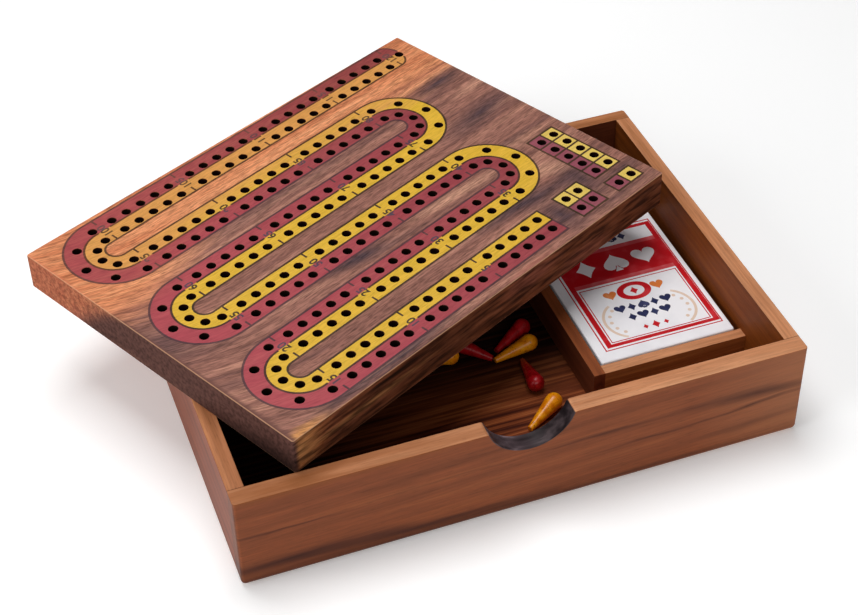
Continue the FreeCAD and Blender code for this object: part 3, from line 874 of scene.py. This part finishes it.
# %% [markdown]
# A 2D curve fills the loops, and its extrusion gives the fill a hair of thickness, so that it is a
# closed body. It is turned into a mesh before it is put in place, and every piece gets its material,
# its slot and the body that it rides on in one function, so that none is forgotten. Real ink is a few
# hundredths of a millimetre thick. The lines lie over the lanes, so they are a little thicker.

# %% Flat prints
WELD = 0.0005  # millimetres, far finer than any print


def finish_piece(name, mesh, materials, body):
    """A piece at the origin from a mesh, with its finish and the body that it rides on."""
    for material in materials:
        mesh.materials.append(material)
    piece = bpy.data.objects.new(name, mesh)
    bpy.context.scene.collection.objects.link(piece)
    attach(piece, body)
    print(name, "has", len(mesh.polygons), "faces")
    return piece


def mesh_of(curve, name, placement):
    """A curve or text turned to a clean mesh and put in place."""
    maker = bpy.data.objects.new(name, curve)
    bpy.context.scene.collection.objects.link(maker)
    graph = bpy.context.evaluated_depsgraph_get()
    mesh = bpy.data.meshes.new_from_object(maker.evaluated_get(graph))
    bpy.data.objects.remove(maker)
    bpy.data.curves.remove(curve)
    shape = bmesh.new()
    shape.from_mesh(mesh)
    bmesh.ops.remove_doubles(shape, verts=shape.verts, dist=WELD)
    bmesh.ops.transform(shape, matrix=placement, verts=shape.verts)
    bmesh.ops.recalc_face_normals(shape, faces=shape.faces)
    shape.to_mesh(mesh)
    shape.free()
    mesh.name = name
    return mesh


def print_mesh(name, loops, thickness, placement):
    """Loops in millimetres, filled between and made a thin closed slab."""
    curve = bpy.data.curves.new(name, "CURVE")
    curve.dimensions = "2D"
    curve.fill_mode = "BOTH"
    curve.extrude = thickness / 2
    for loop in loops:
        spline = curve.splines.new("POLY")
        spline.points.add(len(loop) - 1)
        for point, at in zip(spline.points, loop):
            point.co = (at.x, at.y, 0, 1)
        spline.use_cyclic_u = True
    return mesh_of(curve, name, placement)


INK, LINE_INK = 0.04, 0.07
on_board = Matrix.Translation(LID_CORNER + Vector((0, 0, LID_TOP)))
on_board = on_board @ Matrix.Rotation(LID_TURN + TRACK_SKEW, 4, "Z") @ Matrix.Scale(MM, 4)
print("the lanes' ink stands", INK / 2, "mm proud, the lines'", LINE_INK / 2, "mm")

# %% [markdown]
# ## Screen ink
# Screen ink sinks into the wood a little: its colour shifts from the pale sapwood to the dark
# heartwood, and the fibres ripple it. So the ink's material starts from the same wood and covers
# most of it. It dries to a smooth skin, so it gives the eye more shine than the board does. Each ink
# is named for its colour, and has one tone over heartwood and one over sapwood.

# %% Ink
INK_COVER = 0.85
RIPPLE = 0.16
DARKER_FROM, DARKEST_AT = 50 * MM, 190 * MM
RED_FAR_SHADE = 0.68


def ink_material(name, over_heart, over_sap, far_shade=1.0):
    """Screen ink that lets some of the grain through, darker towards the right end if asked."""
    material, tree = new_material(name)
    wood, height, sap, parts = lid_wood(tree)
    ink = add(tree, "Mix", {0: sap, 6: linear(over_heart), 7: linear(over_sap)}, out=2, data_type="RGBA")
    far = add(tree, "MapRange", {"Value": parts[0], "From Min": DARKER_FROM, "From Max": DARKEST_AT,
                                 "To Min": 1.0, "To Max": far_shade})
    ripple = add(tree, "MapRange", {"Value": height, "From Min": FIBRE_LOW, "From Max": FIBRE_HIGH,
                                    "To Min": 1 - RIPPLE, "To Max": 1 + RIPPLE})
    ink = shaded(tree, shaded(tree, ink, far), ripple)
    colour = add(tree, "Mix", {0: INK_COVER, 6: wood, 7: ink}, out=2, data_type="RGBA")
    bump = add(tree, "Bump", {"Height": height, "Strength": 0.15, "Distance": 0.08 * MM})
    surface(tree, {"Base Color": colour, "Roughness": 0.48, "Normal": bump,
                   "Specular IOR Level": 0.25})
    return material


# Full coats for the lanes: the red deepens to the right, and the yellow turns to ochre on sapwood.
RED_INK = ink_material("red_screen_ink", "#AC404C", "#9C3846", RED_FAR_SHADE)
YELLOW_INK = ink_material("yellow_screen_ink", "#E2B52C", "#D5984B")
# Thinner coats for the squares, which look duller and chalkier.
PALE_RED_INK = ink_material("red_square_ink", "#8F4556", "#8F4556")
PALE_YELLOW_INK = ink_material("yellow_square_ink", "#E6C75E", "#E6C75E")
# Lines, printed dark over the lanes, so that each takes on some of the colour under it.
MIDDLE_INK = ink_material("maroon_line_ink", "#36160A", "#3E1A0C")
OLIVE_INK = ink_material("olive_line_ink", "#2E2104", "#352506")
PURPLE_INK = ink_material("purple_line_ink", "#4A2A32", "#4A282E")
print(f"ink covers {INK_COVER:.0%} of the wood")

# %% [markdown]
# ## The two lanes
# Seen in the direction of play, red runs on the left of the middle line and yellow on the right.
# Each outline walks up the middle line, round the tip, and back along the lane's outer edge.

# %% The two lanes
def lane_outline(side):
    """One lane's outline: +1 is the red lane on the left of travel, -1 the yellow one."""
    outline = [point for point, _ in middle] + hole_arc(side)
    outline += [point for point, _ in reversed(cap_arc(side, HOLE)[1:])]
    outline += [point + normal * side * LANE for point, normal in reversed(middle)]
    return outline


for colour, side, ink in (("red", 1, RED_INK), ("yellow", -1, YELLOW_INK)):
    loops = [lane_outline(side)]
    loops += [circle(Vector((u, v)), HOLE) for kind, u, v in track_holes() if kind == colour]
    mesh = print_mesh("lane_" + colour, loops, INK, on_board)
    finish_piece("lane_" + colour, mesh, [ink], "lid")

# %% [markdown]
# ## Start and counter squares
# The squares by the start and in the games counter are printed in thinner ink, so they look duller.
# In the counter red stands left of yellow; in the start block red lies below yellow.

# %% Squares
def cells(block):
    """The cells of a block as (column, row, along 0, along 1, across 0, across 1)."""
    columns, heights = block
    return [(column, row, columns[column], columns[column + 1], heights[row], heights[row + 1])
            for column in range(len(columns) - 1) for row in range(len(heights) - 1)]


def square_loops(colour):
    """The loops of one colour's squares, each with its hole."""
    loops = []
    for block in (START_BLOCK, COUNTER_BLOCK, PAIR_BLOCK):
        for column, row, u0, u1, v0, v1 in cells(block):
            order = row if block is START_BLOCK else column
            if ("red", "yellow")[order] != colour:
                continue
            inside = [(u, v) for u, v in square_holes() if u0 < u < u1 and v0 < v < v1]
            loops += [rectangle(u0, u1, v0, v1)] + [circle(Vector(place), HOLE) for place in inside]
    return loops


for colour, ink in (("red", PALE_RED_INK), ("yellow", PALE_YELLOW_INK)):
    mesh = print_mesh("squares_" + colour, square_loops(colour), INK, on_board)
    finish_piece("squares_" + colour, mesh, [ink], "lid")

# %% [markdown]
# ## Lines, ticks and frames
# Thin dark lines edge the lanes and part them. The middle one breaks at every fifth hole for a
# number, and a short tick at each outer edge marks the same place. Lines are ribbons: the path's
# points moved half a width to each side along their normals. The edge lines come first.

# %% Edge lines
LINE = 1.0


def edge_path(side):
    """One lane's outer edge from the start to the finish hole, with its outward normals."""
    corner = Vector((START_EDGE, lines[0] - side * LANE))
    path = [(Vector((START_EDGE, lines[0])), Vector((1, 0))), (corner, Vector((1, -side)))]
    path += [(point + normal * side * LANE, normal * side) for point, normal in middle[1:]]
    return path + cap_arc(side, HOLE + LINE / 2)[1:]


for colour, side, ink in (("red", 1, PURPLE_INK), ("yellow", -1, OLIVE_INK)):
    mesh = print_mesh("edge_" + colour, [ribbon(edge_path(side), LINE)], LINE_INK, on_board)
    finish_piece("edge_" + colour, mesh, [ink], "lid")

# %% [markdown]
# A number stands after every fifth hole, so one walk along the track finds both: the places of the
# numbers, and the runs of middle line that are left between them. The walk changes direction at each
# straight, and its columns are read in that direction.

# %% Numbers and the middle line between them
def number_places():
    """Every number as (value, along, across, line), and the middle line's runs between them."""
    places, runs = [], []
    run = [(Vector((START_EDGE - LINE / 2, lines[0])), Vector((0, -1)))]
    for number, line in enumerate(lines):
        heading = -1 if number % 2 == 0 else 1
        columns = NUMBER_COLUMNS[:-1] if number == 0 else list(NUMBER_COLUMNS)
        if number == STRAIGHTS - 1:
            columns.append(CAP)
        normal = Vector((0, heading))
        for column in sorted(columns, key=lambda at: at * heading):
            places.append((PER_GROUP * (len(places) + 1), column, line, number))
            runs.append(run + [(Vector((column - heading * NUMBER_CLEAR, line)), normal)])
            run = [(Vector((column + heading * NUMBER_CLEAR, line)), normal)]
        if number < STRAIGHTS - 1:
            run += turn_points(number)
    return places, runs


places, runs = number_places()
middle_mesh = print_mesh("middle_line", [ribbon(run, LINE) for run in runs], LINE_INK, on_board)
finish_piece("middle_line", middle_mesh, [MIDDLE_INK], "lid")

# %% [markdown]
# A tick is a short bar from a lane's outer edge inwards, beside each number. It helps the eye to count
# in fives. Bars are rectangles, gathered by the lane that they lie on, so each lane's ticks are one
# piece in the ink of its edge line.

# %% Ticks
TICK, TICK_WIDTH = 3.3, 0.95
tick_loops = {"red": [], "yellow": []}
for _, column, line, number in places:
    for side in (-1, 1):
        lane = "red" if side == (-1 if number % 2 == 0 else 1) else "yellow"
        ends = sorted((line + side * (LANE - LINE / 2), line + side * (LANE - LINE / 2 - TICK)))
        tick_loops[lane].append(rectangle(column - TICK_WIDTH / 2, column + TICK_WIDTH / 2, *ends))
for colour, ink in (("red", PURPLE_INK), ("yellow", OLIVE_INK)):
    mesh = print_mesh("ticks_" + colour, tick_loops[colour], LINE_INK, on_board)
    finish_piece("ticks_" + colour, mesh, [ink], "lid")

# %% [markdown]
# The squares touch, so their frames share lines. The simplest drawing of that is one outer rectangle
# with a hole for every square: the curve's fill leaves just the grid of lines.

# %% Frames round the squares
def frame_loops(block):
    """A block's outer loop and one inner loop for every cell."""
    columns, heights = block
    loops = [rectangle(columns[0] - LINE / 2, columns[-1] + LINE / 2,
                       heights[0] - LINE / 2, heights[-1] + LINE / 2)]
    for _, _, u0, u1, v0, v1 in cells(block):
        loops.append(rectangle(u0 + LINE / 2, u1 - LINE / 2, v0 + LINE / 2, v1 - LINE / 2))
    return loops


frames = sum((frame_loops(block) for block in (START_BLOCK, COUNTER_BLOCK, PAIR_BLOCK)), [])
frame_mesh = print_mesh("square_frames", frames, LINE_INK, on_board)
finish_piece("square_frames", frame_mesh, [OLIVE_INK], "lid")

# %% [markdown]
# ## Numbers
# The numbers count the holes in fives and read from the side with the start. Each stands across the
# middle line, half on one lane and half on the other, and the ink dries darker on the yellow. So each
# number is cut along the middle line, and its two halves get two inks.

# %% Numbers
DIGIT_HEIGHT = 4.4
DIGIT_STRETCH = 0.92
DIGIT_FATTER = 0.03


def number_mesh(value, at_along, at_across, lower_ink):
    """A number centred on a point, its lower half in one ink and its upper half in the other."""
    text = bpy.data.curves.new("number", "FONT")
    text.body = str(value)
    text.extrude = LINE_INK / 2
    text.offset = DIGIT_FATTER
    plain = mesh_of(text, "number", Matrix.Identity(4))
    xs = [vertex.co.x for vertex in plain.vertices]
    ys = [vertex.co.y for vertex in plain.vertices]
    size = DIGIT_HEIGHT / (max(ys) - min(ys))
    shape = bmesh.new()
    shape.from_mesh(plain)
    centred = Matrix.Translation((-(max(xs) + min(xs)) / 2, -(max(ys) + min(ys)) / 2, 0))
    scaled = Matrix.Diagonal((size * DIGIT_STRETCH, size, 1, 1))
    bmesh.ops.transform(shape, matrix=scaled @ centred, verts=shape.verts)
    bmesh.ops.bisect_plane(shape, geom=shape.verts[:] + shape.edges[:] + shape.faces[:],
                           plane_co=(0, 0, 0), plane_no=(1, 0, 0))
    for face in shape.faces:
        face.material_index = lower_ink if face.calc_center_median().x < 0 else 1 - lower_ink
    turned = Matrix.Translation((at_along, at_across, 0)) @ Matrix.Rotation(math.pi / 2, 4, "Z")
    bmesh.ops.transform(shape, matrix=on_board @ turned, verts=shape.verts)
    shape.to_mesh(plain)
    shape.free()
    return plain


digits = bmesh.new()
for value, at_along, at_across, number in places:
    digits.from_mesh(number_mesh(value, at_along, at_across, number % 2))
digit_mesh = bpy.data.meshes.new("track_numbers")
digits.to_mesh(digit_mesh)
digits.free()
# The same dark ink dries plum on the red lane and olive on the yellow one.
PLUM_DIGIT = ink_material("plum_digit_ink", "#44364A", "#423240")
OLIVE_DIGIT = ink_material("olive_digit_ink", "#302C0E", "#36300E")
finish_piece("track_numbers", digit_mesh, [PLUM_DIGIT, OLIVE_DIGIT], "lid")
print("numbers", [value for value, *_ in places])

# %% [markdown]
# ## Pegs
# The pegs are turned beech, dipped in gloss paint. Thick paint gives the eye a sharp highlight, so
# its roughness is low, but it keeps a faint ripple and pools darker here and there. The yellow ones
# have also been rubbed, and show brown specks of bare wood. The ripple's noise has a patch every
# 4 mm, and the specks' noise one every millimetre.

# %% Pegs
RIPPLE_SCALE, SPECK_SCALE = 260.0, 900.0  # patches in a metre
SPECK_TONE = "#5A2F12"
RED_PAINT_TONES = [(0.30, "#780408"), (0.52, "#9E0A12"), (0.72, "#B4141C")]
YELLOW_PAINT_TONES = [(0.30, "#D87404"), (0.52, "#F29408"), (0.72, "#FCA914")]


def peg_material(name, tones, specks):
    """Dipped gloss paint: a slow drift of tone, a ripple, and specks where it has chipped."""
    material, tree = new_material(name)
    place = add(tree, "TexCoord", out=3)
    drift = add(tree, "TexNoise", {"Vector": place, "Scale": RIPPLE_SCALE, "Detail": 2.0})
    chips = add(tree, "TexNoise", {"Vector": place, "Scale": SPECK_SCALE, "Detail": 1.0})
    paint = add(tree, "ValToRGB", {0: drift}, stops=tones)
    share = add(tree, "MapRange", {"Value": chips, "From Min": 0.64, "From Max": 0.7, "To Max": specks})
    colour = add(tree, "Mix", {0: share, 6: paint, 7: linear(SPECK_TONE)}, out=2, data_type="RGBA")
    roughness = add(tree, "MapRange", {"Value": drift, "From Min": 0.3, "From Max": 0.7,
                                       "To Min": 0.22, "To Max": 0.34})
    bump = add(tree, "Bump", {"Height": drift, "Strength": 0.15, "Distance": 0.2 * MM})
    surface(tree, {"Base Color": colour, "Roughness": roughness, "Normal": bump,
                   "Specular IOR Level": 0.4})
    return material


RED_PAINT = peg_material("red_gloss_paint", RED_PAINT_TONES, 0.2)
YELLOW_PAINT = peg_material("yellow_gloss_paint", YELLOW_PAINT_TONES, 0.5)
for number in (1, 2, 3):
    NODES[f"red_peg_{number}"].data.materials[0] = RED_PAINT
    NODES[f"yellow_peg_{number}"].data.materials[0] = YELLOW_PAINT
print("pegs painted:", sum("_peg_" in node for node in NODES))

# %% [markdown]
# ## The pack's carton
# The carton is white board with a thin coating. It gives the eye an almost even white with a little
# shine: grey dust is rubbed into it in patches 20 mm apart, and the board's pulp ripples it every
# millimetre and a half. The open flap stands in its own shade and has been handled more, so its
# white is greyer.

# %% Carton
DUST_SCALE, PULP_SCALE = 45.0, 700.0  # patches in a metre


def carton_material(name, clean, rubbed):
    """Coated board, slightly mottled, with a faint ripple."""
    material, tree = new_material(name)
    place = add(tree, "TexCoord", out=3)
    rub = add(tree, "TexNoise", {"Vector": place, "Scale": DUST_SCALE, "Detail": 4.0})
    pulp = add(tree, "TexNoise", {"Vector": place, "Scale": PULP_SCALE, "Detail": 2.0})
    colour = add(tree, "ValToRGB", {0: rub}, stops=[(0.36, rubbed), (0.52, clean)])
    roughness = add(tree, "MapRange", {"Value": rub, "From Min": 0.35, "From Max": 0.65,
                                       "To Min": 0.42, "To Max": 0.34})
    height = add(tree, "Math", {0: pulp, 1: 0.3, 2: rub}, operation="MULTIPLY_ADD")
    bump = add(tree, "Bump", {"Height": height, "Strength": 0.12, "Distance": 0.15 * MM})
    surface(tree, {"Base Color": colour, "Roughness": roughness, "Normal": bump,
                   "Specular IOR Level": 0.3})
    return material


NODES["tuck_box"].data.materials[0] = carton_material("coated_white_board", "#F3F1F4", "#EAE8EC")
NODES["tuck_flap"].data.materials[0] = carton_material("coated_flap_board", "#EDECF0", "#DCDAE0")
print("carton dressed:", [name for name in NODES if name.startswith("tuck_")])

# %% [markdown]
# ## The cards
# What shows of the cards is a stack of cut edges, which give the eye fine level lines. A card is
# 0.29 mm thick, which is too fine to show, so a line is drawn for about two cards. A wave texture
# turns round once in 2 pi over twenty times its scale.

# %% Cards
CARD_SCALE = 500.0
material, tree = new_material("stacked_card_edges")
heights = add(tree, "TexWave", {"Vector": add(tree, "TexCoord", out=3), "Scale": CARD_SCALE,
                                "Distortion": 0.6, "Detail": 1.0}, out=1, bands_direction="Z")
edge_colour = add(tree, "ValToRGB", {0: heights}, stops=[(0.1, "#B9B4AA"), (0.5, "#EDEAE2")])
edge_bump = add(tree, "Bump", {"Height": heights, "Strength": 0.3, "Distance": 0.05 * MM})
surface(tree, {"Base Color": edge_colour, "Roughness": 0.6, "Normal": edge_bump,
               "Specular IOR Level": 0.3})
NODES["playing_cards"].data.materials[0] = material
print(f"card edges: a line every {2 * math.pi / (20 * CARD_SCALE) / MM:.2f} mm")

# %% [markdown]
# ## Print on the carton
# Offset print is flat, even and sharp: a red frame, a wide red band with suit signs left white, rows of
# small navy signs and a light ornament below. All of it is one curve per colour, laid on the face. A
# sign in the band is a hole in the red, with nothing laid over it. Places are in millimetres from the
# face's near left corner, and each sign is drawn one unit tall and brought to its size.

# %% Places on the carton
pack_low, pack_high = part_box("tuck_box")
PACK_WIDTH, PACK_LENGTH = (pack_high.x - pack_low.x) / MM, (pack_high.y - pack_low.y) / MM
CARTON_INK = 0.03
on_pack = Matrix.Translation((pack_low.x, pack_low.y, pack_high.z)) @ Matrix.Scale(MM, 4)


def diamond(steps=4):
    """A diamond with sides that bow inwards, one unit tall."""
    corners = [Vector((0.40, 0)), Vector((0, 0.5)), Vector((-0.40, 0)), Vector((0, -0.5))]
    loop = []
    for start, end in zip(corners, corners[1:] + corners[:1]):
        for step in range(steps):
            share = step / steps
            loop.append(start.lerp(end, share) * (1 - 0.5 * share * (1 - share)))
    return loop


def heart(steps=28):
    """A heart one unit tall, from its notch round to its notch."""
    loop = []
    for step in range(steps):
        turn = 2 * math.pi * (step + 0.5) / steps
        height = 13 * math.cos(turn) - 5 * math.cos(2 * turn)
        height += -2 * math.cos(3 * turn) - math.cos(4 * turn)
        loop.append(Vector((16 * math.sin(turn) ** 3 / 30, (height + 2.5) / 30)))
    return loop


def spade():
    """A heart turned over, with a stem in place of its notch."""
    leaf = [Vector((-point.x, -point.y + 0.08)) for point in heart()[1:-1]]
    stem = [Vector((0.04, -0.16)), Vector((0.17, -0.5)), Vector((-0.17, -0.5)), Vector((-0.04, -0.16))]
    return leaf + stem


def at_place(loop, x, y, size):
    """A unit loop brought to its size and place."""
    return [Vector((x, y)) + point * size for point in loop]


def framed(left, right, front, back):
    """A loop that keeps a margin from each edge of the face."""
    return rectangle(left, PACK_WIDTH - right, front, PACK_LENGTH - back)


print(f"the carton's face is {PACK_WIDTH:.1f} x {PACK_LENGTH:.1f} mm")

# %% [markdown]
# Offset ink is thinner than screen ink and lies under the carton's coating, so it is even and has the
# board's own shine. Thumbs have rubbed it a little paler in patches 8 mm apart. Five inks are enough:
# red, the same red printed as a tint, navy, tan and orange.

# %% Offset inks
RUB_SCALE = 120.0  # patches in a metre


def carton_ink(name, full, worn):
    """Offset ink under a thin coating, rubbed a little paler in places."""
    material, tree = new_material(name)
    place = add(tree, "TexCoord", out=3)
    rub = add(tree, "TexNoise", {"Vector": place, "Scale": RUB_SCALE, "Detail": 4.0})
    colour = add(tree, "ValToRGB", {0: rub}, stops=[(0.34, worn), (0.5, full)])
    roughness = add(tree, "MapRange", {"Value": rub, "From Min": 0.35, "From Max": 0.65,
                                       "To Min": 0.4, "To Max": 0.32})
    surface(tree, {"Base Color": colour, "Roughness": roughness, "Specular IOR Level": 0.3})
    return material


CARTON_RED = carton_ink("red_offset_ink", "#C2101C", "#CC3038")
CARTON_PINK = carton_ink("rubbed_red_offset_ink", "#D04A50", "#DA7074")
CARTON_NAVY = carton_ink("navy_offset_ink", "#23284E", "#3A3F66")
CARTON_TAN = carton_ink("tan_offset_ink", "#E2C8B4", "#EBDACB")
CARTON_ORANGE = carton_ink("orange_offset_ink", "#DC7A3A", "#E29A66")
print("offset inks:", sum("offset_ink" in made.name for made in bpy.data.materials))

# %% [markdown]
# A frame is a loop inside a loop. The band is one red rectangle that three signs are cut from, with a
# paler stripe along each long edge, and a hair-thin double frame runs round each part of the print.

# %% Frames and the wide band
BAND_LOW, BAND_HIGH, BAND_EDGE = 48.1, 72.2, 2.6
PRINT_LEFT, PRINT_RIGHT = 8.7, PACK_WIDTH - 5.7
band_middle = (BAND_LOW + BAND_HIGH) / 2

frame_print = [framed(6.2, 3.2, 7.7, 7.7), framed(8.7, 5.7, 9.7, 9.7)]
band_print = [rectangle(PRINT_LEFT, PRINT_RIGHT, BAND_LOW + BAND_EDGE, BAND_HIGH - BAND_EDGE)]
band_print += [at_place(diamond(), 18.7, band_middle, 12.0), at_place(spade(), 33.4, band_middle, 11.5),
               at_place(heart(), 48.3, band_middle, 11.0)]
band_edges = [rectangle(PRINT_LEFT, PRINT_RIGHT, BAND_LOW, BAND_LOW + BAND_EDGE),
              rectangle(PRINT_LEFT, PRINT_RIGHT, BAND_HIGH - BAND_EDGE, BAND_HIGH)]
thin_frame = [framed(4.6, 2.5, 6.1, 6.1), framed(5.2, 3.1, 6.7, 6.7)]
thin_frame += [rectangle(9.3, PACK_WIDTH - 6.3, 10.3, 46.9)]
thin_frame += [rectangle(9.8, PACK_WIDTH - 6.8, 10.8, 46.4)]

for name, loops, ink in (("carton_frame", frame_print, CARTON_RED),
                         ("carton_band", band_print, CARTON_RED),
                         ("carton_band_edges", band_edges, CARTON_PINK),
                         ("carton_thin_frame", thin_frame, CARTON_RED)):
    finish_piece(name, print_mesh(name, loops, CARTON_INK, on_pack), [ink], "card_pack")

# %% [markdown]
# Small suit signs stand in rows, each row centred on the face. One function spaces a row, and all
# three rows are one navy piece.

# %% Rows of small signs
SIGN = 5.2
FACE_MIDDLE = 33.3


def row_of(signs, x, y, spacing, size):
    """Signs in a row, centred on a point."""
    start = x - spacing * (len(signs) - 1) / 2
    return [at_place(sign, start + spacing * number, y, size) for number, sign in enumerate(signs)]


navy_rows = row_of([heart(), diamond(), spade(), diamond(), heart()], FACE_MIDDLE, 29.4, 5.6, SIGN)
navy_rows += row_of([diamond(), heart(), diamond(), heart()], FACE_MIDDLE, 23.0, 5.4, SIGN)
navy_rows += row_of([diamond(), spade(), diamond(), spade(), diamond()], FACE_MIDDLE, 77.0, 5.4, SIGN)
sign_mesh = print_mesh("carton_navy_signs", navy_rows, CARTON_INK, on_pack)
finish_piece("carton_navy_signs", sign_mesh, [CARTON_NAVY], "card_pack")

# %% [markdown]
# The lower panel has a plain ornament: an oval ring round a diamond, a heart on each side, three small
# diamonds below, and two pale arcs with beads. Every shape is again a loop, or a ribbon round part of
# a circle.

# %% Ornament and arcs
ORNAMENT = Vector((FACE_MIDDLE, 39.3))
LOW_MIDDLE, LOW_ROW = 33.0, 15.1
ARC_ROW, ARC_APART, ARC_RADIUS, ARC_WIDTH = 22.5, 9.0, 12.5, 1.3
BEAD_RADIUS, BEAD_SIZE = 9.6, 0.9


def oval(centre, half_width, half_height, steps=28):
    """An oval loop."""
    round_loop = circle(Vector((0, 0)), 1, steps)
    return [centre + Vector((half_width * p.x, half_height * p.y)) for p in round_loop]


def arc_ribbon(centre, radius, start, end, width, steps=20):
    """A curved strip round a centre between two angles in degrees."""
    turns = [math.radians(start + (end - start) * step / steps) for step in range(steps + 1)]
    outs = [Vector((math.cos(turn), math.sin(turn))) for turn in turns]
    return ribbon([(centre + out * radius, out) for out in outs], width)


ornament_red = [oval(ORNAMENT, 8.2, 6.0), oval(ORNAMENT, 5.0, 3.6), at_place(diamond(), *ORNAMENT, 5.0)]
ornament_red += [at_place(diamond(), LOW_MIDDLE, LOW_ROW, 5.0)]
ornament_red += [at_place(diamond(), LOW_MIDDLE + side * 5.0, LOW_ROW, 3.2) for side in (-1, 1)]
ornament_orange = [at_place(heart(), ORNAMENT.x + side * 11.6, ORNAMENT.y, 6.0) for side in (-1, 1)]
tan_arcs = []
for side in (-1, 1):
    start, end = (120, 240) if side < 0 else (60, -60)
    hub = Vector((FACE_MIDDLE + side * ARC_APART, ARC_ROW))
    tan_arcs.append(arc_ribbon(hub, ARC_RADIUS, start, end, ARC_WIDTH))
    for bead in (-50, -25, 0, 25, 50):
        turn = math.radians((180 if side < 0 else 0) + bead)
        out = Vector((math.cos(turn), math.sin(turn)))
        tan_arcs.append(circle(hub + out * BEAD_RADIUS, BEAD_SIZE, 12))

for name, loops, ink in (("carton_ornament", ornament_red, CARTON_RED),
                         ("carton_hearts", ornament_orange, CARTON_ORANGE),
                         ("carton_arcs", tan_arcs, CARTON_TAN)):
    finish_piece(name, print_mesh(name, loops, CARTON_INK, on_pack), [ink], "card_pack")

# %% [markdown]
# ## Light
# A soft panel overhead shapes the board, a larger one on the left lights the near end and a third in
# front fills the near wall. Large panels close by give the soft shadows of a light tent. The room
# itself adds only a little.

# %% Light
def panel(name, size, place, aim, power):
    """A square soft light aimed at a point."""
    data = bpy.data.lights.new(name, "AREA")
    data.shape = "SQUARE"
    data.size = size
    data.energy = power
    lamp = bpy.data.objects.new(name, data)
    lamp.location = place
    lamp.rotation_euler = (Vector(aim) - Vector(place)).to_track_quat("-Z", "Y").to_euler()
    bpy.context.scene.collection.objects.link(lamp)
    print(name, power, "W")


panel("top_panel", 0.75, (-0.1, 0.25, 1.2), (0, 0, 0), 10.5)
panel("left_panel", 1.2, (-1.6, -0.2, 0.8), (0, 0, 0.05), 15)
panel("front_panel", 1.2, (-0.2, -1.6, 1.0), (0, 0, 0.05), 9.5)

ROOM_LIGHT = 0.08
world = bpy.data.worlds.new("soft_room")
bpy.context.scene.world = world
world.use_nodes = True
world.node_tree.nodes["Background"].inputs["Color"].default_value = (1, 1, 1, 1)
world.node_tree.nodes["Background"].inputs["Strength"].default_value = ROOM_LIGHT
bpy.context.scene.view_settings.view_transform = "Standard"

# %% [markdown]
# A box of warm wood wants a pale table, so that light comes back into its shaded sides. The table is
# one large sheet of matt white laminate just under the box. It glows faintly, as a lit sweep does, so
# that it stays even and white behind the soft shadow.

# %% Table
TABLE_REACH, TABLE_DROP = 4.0, 0.3 * MM
ground = bmesh.new()
bmesh.ops.create_grid(ground, x_segments=1, y_segments=1, size=TABLE_REACH)
bmesh.ops.translate(ground, verts=ground.verts, vec=(0, 0, -TABLE_DROP))
ground_mesh = bpy.data.meshes.new("table_top")
ground.to_mesh(ground_mesh)
ground.free()
table_top = bpy.data.objects.new("table_top", ground_mesh)
bpy.context.scene.collection.objects.link(table_top)
white, tree = new_material("pale_table")
surface(tree, {"Base Color": (0.97, 0.97, 0.97, 1), "Roughness": 0.6, "Specular IOR Level": 0.2,
               "Emission Color": (1, 1, 1, 1), "Emission Strength": 0.15})
ground_mesh.materials.append(white)
print(f"table {2 * max(vertex.co.x for vertex in ground_mesh.vertices):.0f} m wide")
